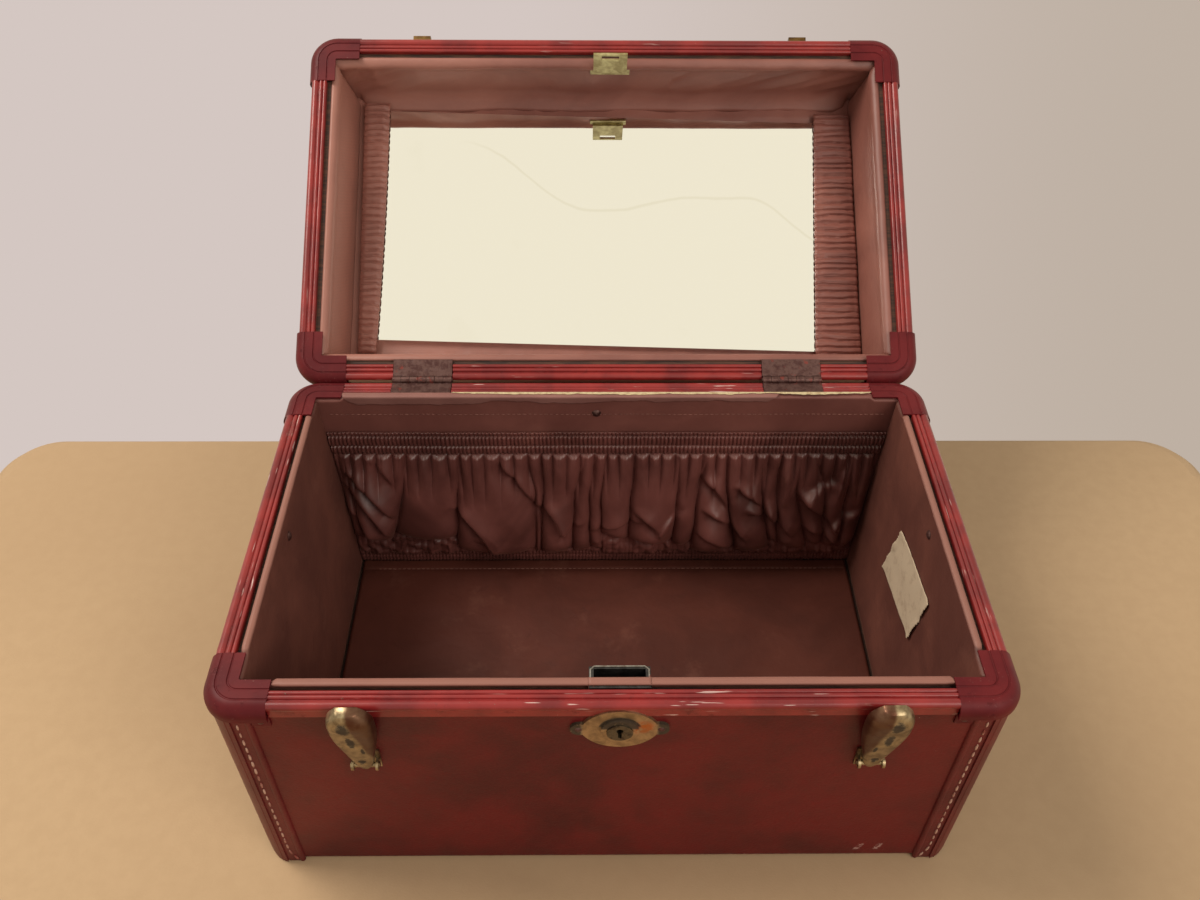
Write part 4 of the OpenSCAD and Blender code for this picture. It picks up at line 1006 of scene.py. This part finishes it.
for make, place, side in (
    (lid_long_lining, "front", -1), (lid_long_lining, "rear", 1),
    (lid_side_lining, "left", -1), (lid_side_lining, "right", 1),
):
    make("lid_lining_" + place + "_cloth", "lid_lining_" + place, side)
lid_back_cloth()
for place, side, width in (("left", -1, 0.014), ("right", 1, 0.027)):
    cloth = shirred_end("mirror_pocket_" + place + "_cloth", "mirror_pocket_" + place, side)


# Latch levers: pressed brass hoods, round at the tail and broad at the hook

LATCH_LEAN = radians(5.5)
PIVOT_Y = SHELL_IN - HALF_D - 3.2
PIVOT_Z = LATCH_FOOT_Z


def latch_hood(name, node, body, side):
    """Hollow pressed hood: a narrow tail with a rivet hole, a dished face and a slanting broad end."""
    middle = FITTINGS_X + side * LATCH_X
    low, reach, thick = -2.3, 51.0, 1.2

    def half_width(t):
        swell = sin(pi * 0.5 * clamp((t - 0.02) / 0.70)) ** 1.5
        width = 3.8 + 5.7 * swell
        if t < 0.08:
            width *= sqrt(max(0.0, 1 - ((0.08 - t) / 0.08) ** 2)) * 0.8 + 0.2
        if t > 0.80:
            width -= 5.2 * ((t - 0.80) / 0.20) ** 2.4
        return width

    def depth(t):
        rise = 3.2 + 3.8 * clamp((t - 0.10) / 0.62) ** 1.2
        if t < 0.10:
            rise *= sqrt(max(0.0, 1 - ((0.10 - t) / 0.10) ** 2)) * 0.8 + 0.2
        if t > 0.88:
            rise -= 2.6 * ((t - 0.88) / 0.12) ** 1.4
        return min(7.3, rise)

    def section(a, t, skin):
        """a runs from -1 at one back edge round the face to 1 at the other."""
        z = low + (reach - low) * t
        behind = min(1.15, (1.9 + 0.91 * z) / 0.4147)
        wide = max(0.3, half_width(t) - skin)
        deep = max(0.5, depth(t) - skin)
        angle = a * pi / 2
        power = 0.62
        x = wide * copysign(abs(sin(angle)) ** power, a)
        dish = 0.9 * exp(-((a / 0.34) ** 4) - ((t - 0.66) / 0.15) ** 4)
        hole = 1.1 * exp(-((x / 1.5) ** 4) - ((z - 7.2) / 1.7) ** 4)
        y = behind - (deep - dish - hole) * abs(cos(angle)) ** power
        if skin:
            z = min(z, reach - thick)
        turned_y = y * cos(LATCH_LEAN) - z * sin(LATCH_LEAN)
        turned_z = y * sin(LATCH_LEAN) + z * cos(LATCH_LEAN)
        return (middle + x, PIVOT_Y + turned_y, PIVOT_Z + turned_z)

    around = [sin(pi / 2 * i / 20) for i in range(-20, 21)]
    along = sorted(set([0, 0.008, 0.02, 0.035, 0.055, 0.08] + shares(60, 6) + [0.99]))
    inner = [t for t in along if low + (reach - low) * t <= reach - thick]
    count = len(around)
    points = [section(a, t, 0) for t in along for a in around]
    points += [section(a, t, thick) for t in inner for a in around]
    skin = len(along) * count
    faces = quads(0, count, len(along)) + quads(skin, count, len(inner), True)
    for i in range(count - 1):
        faces.append((i, skin + i, skin + i + 1, i + 1))
    for i in (0, count - 1):
        for j in range(len(inner) - 1):
            k = j * count + i
            faces.append((k, k + count, skin + k + count, skin + k))
    outer_top = [(len(along) - 1) * count + i for i in range(count)]
    inner_top = [skin + (len(inner) - 1) * count + i for i in range(count)]
    left = [j * count for j in range(len(inner) - 1, len(along))]
    right = [j * count + count - 1 for j in range(len(inner) - 1, len(along))]
    faces.append(tuple(outer_top))
    faces.append(tuple(inner_top))
    faces.append(tuple([inner_top[0]] + left + right[::-1] + [inner_top[-1]]))
    piece(name, (points, faces), "latch", body, (node,))


for place, side in (("left", -1), ("right", 1)):
    latch_hood("latch_hood_" + place, "latch_lever_" + place, "latch_" + place, side)


# Carrying handle grip: leather wrapped and stitched over the core

def handle_wrap():
    pivot_z, full = LID_TOP + 8, 7.15
    pivot = Vector((0, 0, pivot_z))
    turn = Matrix.Rotation(radians(OPEN_ANGLE - 180), 4, "X")
    tilt = Matrix.Translation(pivot) @ turn @ Matrix.Translation(-pivot)
    drop, bend, span = 27.0, 13.0, 52.0
    path = [(-span, 6.4 + (drop - bend - 6.4) * k / 6) for k in range(6)]
    for k in range(13):
        angle = pi - pi / 2 * k / 12
        path.append((-span + bend + bend * cos(angle), drop - bend + bend * sin(angle)))
    path += [(-(span - bend) + 2 * (span - bend) * k / 40, drop) for k in range(1, 40)]
    path += [(-x, h) for x, h in reversed(path[:19])]
    rounds = 28
    points = []
    for k, (x, h) in enumerate(path):
        before, after = path[max(0, k - 1)], path[min(len(path) - 1, k + 1)]
        along = Vector((after[0] - before[0], 0, after[1] - before[1])).normalized()
        side = Vector((0, 1, 0))
        out = along.cross(side)
        ring = full - 1.25 * clamp((abs(x) - 29) / 9) ** 0.8
        for r in range(rounds):
            angle = 2 * pi * r / rounds
            seam = 0.35 * exp(-((cos(angle) - 1) / 0.02) ** 2)
            wrinkle = 0.12 * ripple(x * 2, angle * 4, h, 4)
            radius = min(full, ring - seam + wrinkle) - 0.03
            spot = Vector((x, 0, pivot_z + h)) + side * (radius * sin(angle))
            points.append(tuple(tilt @ (spot + out * (-radius * cos(angle)))))
    faces = tube(rounds, len(path))
    return piece("handle_grip_leather", (points, faces), "grip", "handle", ("handle_grip",), True)


handle_wrap()


# Stitching: one tree lays stitches along any path

def stitch_tree():
    tree = bpy.data.node_groups.new("stitch_row", "GeometryNodeTree")
    for name, kind in (
        ("Geometry", "Geometry"), ("Pitch", "Float"), ("Stitch Length", "Float"), ("Thread Radius", "Float"),
        ("Seed", "Int"), ("Thread", "Material"),
    ):
        tree.interface.new_socket(name, in_out="INPUT", socket_type="NodeSocket" + kind)
    tree.interface.new_socket("Geometry", in_out="OUTPUT", socket_type="NodeSocketGeometry")

    def add(kind, values, settings=None):
        return add_node(tree, kind, settings, values)

    source = add("NodeGroupInput", None)
    radius = source["Thread Radius"]
    curve = add("GeometryNodeMeshToCurve", {"Mesh": source["Geometry"]})["Curve"]
    dots = add("GeometryNodeCurveToPoints", {"Curve": curve, "Length": source["Pitch"]}, {"mode": "LENGTH"})
    ball = add("GeometryNodeMeshUVSphere", {"Segments": 8, "Rings": 6, "Radius": 1.0})["Mesh"]
    half = add("ShaderNodeMath", {0: source["Stitch Length"], 1: 0.5}, {"operation": "MULTIPLY"})[0]
    sizes = add("ShaderNodeCombineXYZ", {0: radius, 1: radius, 2: half})[0]
    shape = add("GeometryNodeTransform", {"Geometry": ball, "Scale": sizes})["Geometry"]
    vary = add("FunctionNodeRandomValue", {2: 0.82, 3: 1.12, "Seed": source["Seed"]}, {"data_type": "FLOAT"})[1]
    values = {"Points": dots["Points"], "Instance": shape, "Rotation": dots["Rotation"], "Scale": vary}
    laid = add("GeometryNodeInstanceOnPoints", values)["Instances"]
    real = add("GeometryNodeRealizeInstances", {"Geometry": laid})["Geometry"]
    smooth = add("GeometryNodeSetShadeSmooth", {"Geometry": real})["Geometry"]
    dyed = add("GeometryNodeSetMaterial", {"Geometry": smooth, "Material": source["Thread"]})["Geometry"]
    add("NodeGroupOutput", {"Geometry": dyed})
    return tree


STITCHES = stitch_tree()


def sewn(name, paths, finish, body, slot, pitch, length, radius, on_lid=False, seed=1):
    """Stitches along paths given in millimetres, as one plain mesh."""
    points, edges = [], []
    for path in paths:
        start = len(points)
        points += opened(path, on_lid)
        edges += [(k, k + 1) for k in range(start, len(points) - 1)]
    mesh = bpy.data.meshes.new(name + "_path")
    mesh.from_pydata(points, edges, [])
    thing = placed(name, mesh)
    rows = thing.modifiers.new("rows", "NODES")
    rows.node_group = STITCHES
    values = {
        "Pitch": pitch * INK, "Stitch Length": length * INK, "Thread Radius": radius * INK, "Seed": seed,
        "Thread": FINISH[finish],
    }
    for item in STITCHES.interface.items_tree:
        if item.in_out == "INPUT" and item.name in values:
            rows[item.identifier] = values[item.name]
    ready = thing.evaluated_get(bpy.context.evaluated_depsgraph_get())
    plain = bpy.data.meshes.new_from_object(ready)
    thing.modifiers.clear()
    thing.data = plain
    if not plain.materials:
        plain.materials.append(FINISH[finish])
    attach(thing, body)


def binding_rows(top, turned):
    """Paths of the eight rows on the corner bindings; turned flips them for the closed lid."""
    paths = []
    roll, off = 13.0, 1.15
    for x_sign in (-1, 1):
        for y_sign in (-1, 1):
            front, side = [], []
            for k in range(26):
                z = top - (top - 4.5) * k / 25
                inward = 5.0 * max(0.0, (14 - z) / 14) ** 2
                front.append((x_sign * (HALF_W - STITCH_IN - inward), y_sign * (HALF_D - SHELL_IN + off), z))
            for k in range(24):
                z = top - (top - roll) * k / 23
                side.append((x_sign * (HALF_W - SHELL_IN + off), y_sign * (HALF_D - STITCH_IN), z))
            for k in range(1, 9):
                angle = radians(48) * k / 8
                x = HALF_W - SHELL_IN - roll + (roll + off) * cos(angle)
                side.append((x_sign * x, y_sign * (HALF_D - STITCH_IN), roll - (roll + off) * sin(angle)))
            for path in (front, side):
                paths.append([(x, y, LID_TOP - z) if turned else (x, y, z) for x, y, z in path])
    return paths


# Pitch, stitch length and thread radius on the bindings
BINDING_STITCH = (5.7, 4.3, 0.55)
sewn("base_binding_stitches", binding_rows(129.5, False), "thread", "base", "cover", *BINDING_STITCH)
sewn("lid_binding_stitches", binding_rows(40.5, True), "thread", "lid", "cover", *BINDING_STITCH, True, 5)

# Fine rows along the rear lining and above the floor
rear_row = [(x, LINING_Y - 0.12, 127.4 + 0.4 * ripple(x, 0, 0, 30)) for x in range(-150, 151, 4)]
low_row = [(x, 78.6, 8.0) for x in range(-138, 139, 4)]
sewn("lining_stitches", [rear_row, low_row], "thread_fine", "base", "lining", 2.9, 2.3, 0.2)


# Blank woven label, frayed at its short ends, on the right wall

def label_cloth():
    corners = [(27.1, 100.5), (-26.5, 107.2), (-19.9, 70.6), (34.4, 62.3)]

    def flat(u, v):
        top = [corners[0][i] * (1 - u) + corners[1][i] * u for i in (0, 1)]
        low = [corners[3][i] * (1 - u) + corners[2][i] * u for i in (0, 1)]
        return [top[i] * (1 - v) + low[i] * v for i in (0, 1)]

    def place(u, v, lift):
        y, z = flat(u, v)
        if u < 0.02 or u > 0.98:
            y += 1.4 * ripple(0, v * 60, u * 9, 1.7)
        z += 0.5 * ripple(u * 50, v * 9, 0, 4) if v < 0.02 or v > 0.98 else 0
        curl = 1.3 * max(0.0, abs(u - 0.5) - 0.42) / 0.08 * (0.5 + ripple(u * 7, v * 12, 0, 3))
        wave = 0.25 + 0.25 * ripple(y, z, 0, 12) + max(0.0, curl) * 0.8
        return (LINING_X - (LIP - z) * WALL_LEAN - lift - max(0.05, wave), y, z)

    return piece("blank_label", two_skins(place, 0.42, 0.12, shares(56), shares(40)), "label", "base")


label_cloth()


# Loose cloth and torn paper along the rear lip

def loose_edge():
    """Faded lining cloth that has come away, folded over the lip and hanging down inside in a ragged edge."""
    start, end, over = -142.4, 92.0, 3.4

    def hang(x):
        left = 4.6 * rounded(max(0.0, -62 - x), 14) if x < -62 else 0.0
        scallop = 2.0 + 2.4 * max(0.0, ripple(x, 0, 0, 44, 3) + 0.25)
        return max(left, scallop) + 0.9 * ripple(x, 0, 0, 8, 13)

    def place(x, w, lift):
        ends = rounded(min(x - start, end - x) + 0.4, 9)
        ragged = 0.5 * ripple(x, w * 4, 0, 2.4, 17) if w > 0.9 else 0
        run = (over + max(0.6, hang(x)) + ragged) * w * ends
        loose = 0.5 * max(0.0, ripple(x, 0, 0, 19, 23)) * w
        if run < over - 0.8:
            return (x, LINING_Y + 2.9 - run, LIP + 0.5 + lift)
        if run < over + 0.4:
            turn = (run - over + 0.8) / 1.2 * pi / 2
            radius = 0.8 + lift
            return (x, LINING_Y + 0.3 - radius * sin(turn) - loose, LIP - 0.3 + radius * cos(turn))
        return (x, LINING_Y - 0.5 - lift - loose, LIP - 0.3 - (run - over - 0.4))

    shape = two_skins(place, 0.22, 0, steps(start, end, 300), shares(16))
    piece("loose_lining_edge", shape, "loose_edge", "base")


def torn_strip():
    """A ragged strip of the paper under the lining, along the rear lip."""
    start, end = -84.0, 142.4

    def width(x):
        ragged = max(0.0, ripple(x, 0, 0, 7, 6))
        return 2.0 * (0.45 + 0.7 * max(0.0, ripple(x, 0, 0, 26, 2) + 0.45)) + ragged

    def place(x, w, lift):
        ragged = 0.45 * ripple(x, w * 5, 0, 2.6, 9) * (1 if w > 0.8 else 0.2)
        y = LINING_Y + 3.0 - (width(x) + ragged) * w * rounded(min(x - start, end - x), 14)
        return (x, y, LIP + 0.85 + lift + 0.35 * max(0.0, ripple(x, 0, 0, 13, 12)) * w)

    rows = [0, 0.25, 0.5, 0.75, 0.9, 1]
    shape = two_skins(place, 0.2, 0, steps(start, end, 240), rows)
    piece("torn_lining_edge", shape, "paper", "base")


def socket_trim():
    """Thin pale rim round the lock's socket, and the strip of cloth that carries the lip past it."""
    left, right, far, near = FITTINGS_X - 12.4, FITTINGS_X + 12.4, -82.95, -88.5
    strip_y, strip_wide, foot, brow = -92.4, 3.7, 138.62, 138.95
    ring = [(left, near), (left, far - 1.6), (left + 1.6, far), (right - 1.6, far), (right, far - 1.6), (right, near)]
    points = []
    for k, (x, y) in enumerate(ring):
        before, after = ring[max(0, k - 1)], ring[min(len(ring) - 1, k + 1)]
        along = Vector((after[0] - before[0], after[1] - before[1])).normalized()
        for aside, z in ((-0.36, foot), (0.36, foot), (0.30, brow), (-0.30, brow)):
            points.append((x - along.y * aside, y + along.x * aside, z))
    piece("socket_rim", (points, tube(4, len(ring))), "steel", "base", (), False, False)

    def strip(x, v):
        near_edge = min(v, 1 - v) * strip_wide
        return (x, strip_y + strip_wide * v, 138.64 + 1.1 * rounded(near_edge + 0.2, 1.2))

    def under(x, v):
        return (x, strip_y + strip_wide * v, foot)

    half = SOCKET_HALF - 0.05
    columns = steps(FITTINGS_X - half, FITTINGS_X + half, 20)
    piece("lip_over_lock", slab(strip, under, columns, shares(12)), "lining", "base")


torn_strip()
loose_edge()
socket_trim()


# Table, light and camera

def table_top():
    """Paper-covered table with rounded rear corners and a rolled edge."""
    half_x, front, rear, radius, middle_y = 0.402, -1.2, 0.2, 0.032, 0.05
    outline = []
    for k in range(13):
        angle = radians(90 * k / 12)
        outline.append((half_x - radius + radius * cos(angle), rear - radius + radius * sin(angle)))
    outline += [(-x, y) for x, y in reversed(outline)]
    outline += [(-half_x - 0.9, front), (half_x + 0.9, front)]
    rings = [(0.0, 0.0), (0.006, -0.0015), (0.012, -0.006), (0.016, -0.014), (0.018, -0.3)]
    points = []
    for grow, drop in rings:
        for x, y in outline:
            length = hypot(x, y - middle_y)
            points.append((x + x / length * grow, y + (y - middle_y) / length * grow, drop))
    mesh = closed_mesh("table_top", points, tube(len(outline), len(rings), False), False)
    f = Finish("table_paper")
    fibre = f.noise(1.2, 3, 0.6)
    broad = f.noise(420, 2, 0.5).step(0.3, 0.7)
    fine = f.noise(9, 4, 0.6).step(0.3, 0.7)
    f.tone((197, 167, 130), (187, 157, 122), broad)
    f.paint((178, 148, 113), fine * 0.22)
    normal = f.bump(fibre, 0.08)
    mesh.materials.append(f.wear(Roughness=0.9, Normal=normal, Specular_IOR_Level=0.2))
    placed("table_top", mesh)


def room():
    """Pale wall colour behind everything, painted with shade that darkens it towards the right, a warm ceiling in
    reflections, plain soft light.
    """
    world = bpy.data.worlds.new("room")
    bpy.context.scene.world = world
    world.use_nodes = True
    world.node_tree.nodes.clear()

    def add(kind, values=None, settings=None):
        return add_node(world.node_tree, "ShaderNode" + kind, settings, values)

    # Painted shade on the wall seen behind: lighter on the left, darker towards the right
    across = add("SeparateXYZ", {0: add("TexCoord")["Generated"]})[0]
    shade = add("MapRange", {0: across, "From Min": -0.1, "From Max": 0.5}, {"interpolation_type": "SMOOTHSTEP"})[0]
    wall = add("Mix", {0: shade, 6: tint(212, 199, 194), 7: tint(190, 176, 163)}, {"data_type": "RGBA"})[2]
    seen = add("Background", {0: wall, 1: 1.0})[0]
    lit = add("Background", {0: (1.0, 0.95, 0.88, 1), 1: 0.42})[0]
    shown = add("Background", {0: tint(236, 228, 208), 1: 1.06})[0]
    rays = add("LightPath")
    first = add("MixShader", {0: rays["Is Glossy Ray"], 1: lit, 2: shown})[0]
    second = add("MixShader", {0: rays["Is Camera Ray"], 1: first, 2: seen})[0]
    add("OutputWorld", {0: second})


def lamp(name, place, aim, size, power, colour):
    light = bpy.data.lights.new(name, "AREA")
    light.shape = "SQUARE"
    light.size = size
    light.energy = power
    light.color = colour
    thing = placed(name, light)
    thing.location = place
    thing.rotation_euler = (Vector(aim) - Vector(place)).to_track_quat("-Z", "Y").to_euler()


def camera():
    """The photograph's viewpoint: 44 degrees down, above the front of the case."""
    yaw, pitch, roll = -0.0166, radians(44.1), -0.0106
    focal, photo_width = 1073.8, 1200
    ahead = Vector((-sin(yaw) * cos(pitch), cos(yaw) * cos(pitch), -sin(pitch)))
    right = Vector((cos(yaw), sin(yaw), 0))
    up = right.cross(ahead)
    turned_right = cos(roll) * right - sin(roll) * up
    turned_up = sin(roll) * right + cos(roll) * up
    eye = bpy.data.cameras.new("photo_view")
    eye.sensor_width = 36.0
    eye.lens = focal / photo_width * 36.0
    eye.clip_start = 0.01
    thing = placed("photo_view", eye)
    turn = Matrix((turned_right, turned_up, -ahead)).transposed().to_4x4()
    thing.matrix_world = Matrix.Translation((-0.0111, -0.3453, 0.5204)) @ turn
    bpy.context.scene.camera = thing


table_top()
room()
lamp("ceiling_light", (-0.95, 0.30, 1.45), (0, 0.05, 0.05), 0.7, 20, (1.0, 0.93, 0.84))
lamp("room_light", (1.0, -1.1, 1.3), (0, 0.1, 0.1), 1.0, 13, (1.0, 0.93, 0.85))
camera()

scene = bpy.context.scene
scene.view_settings.view_transform = "Standard"
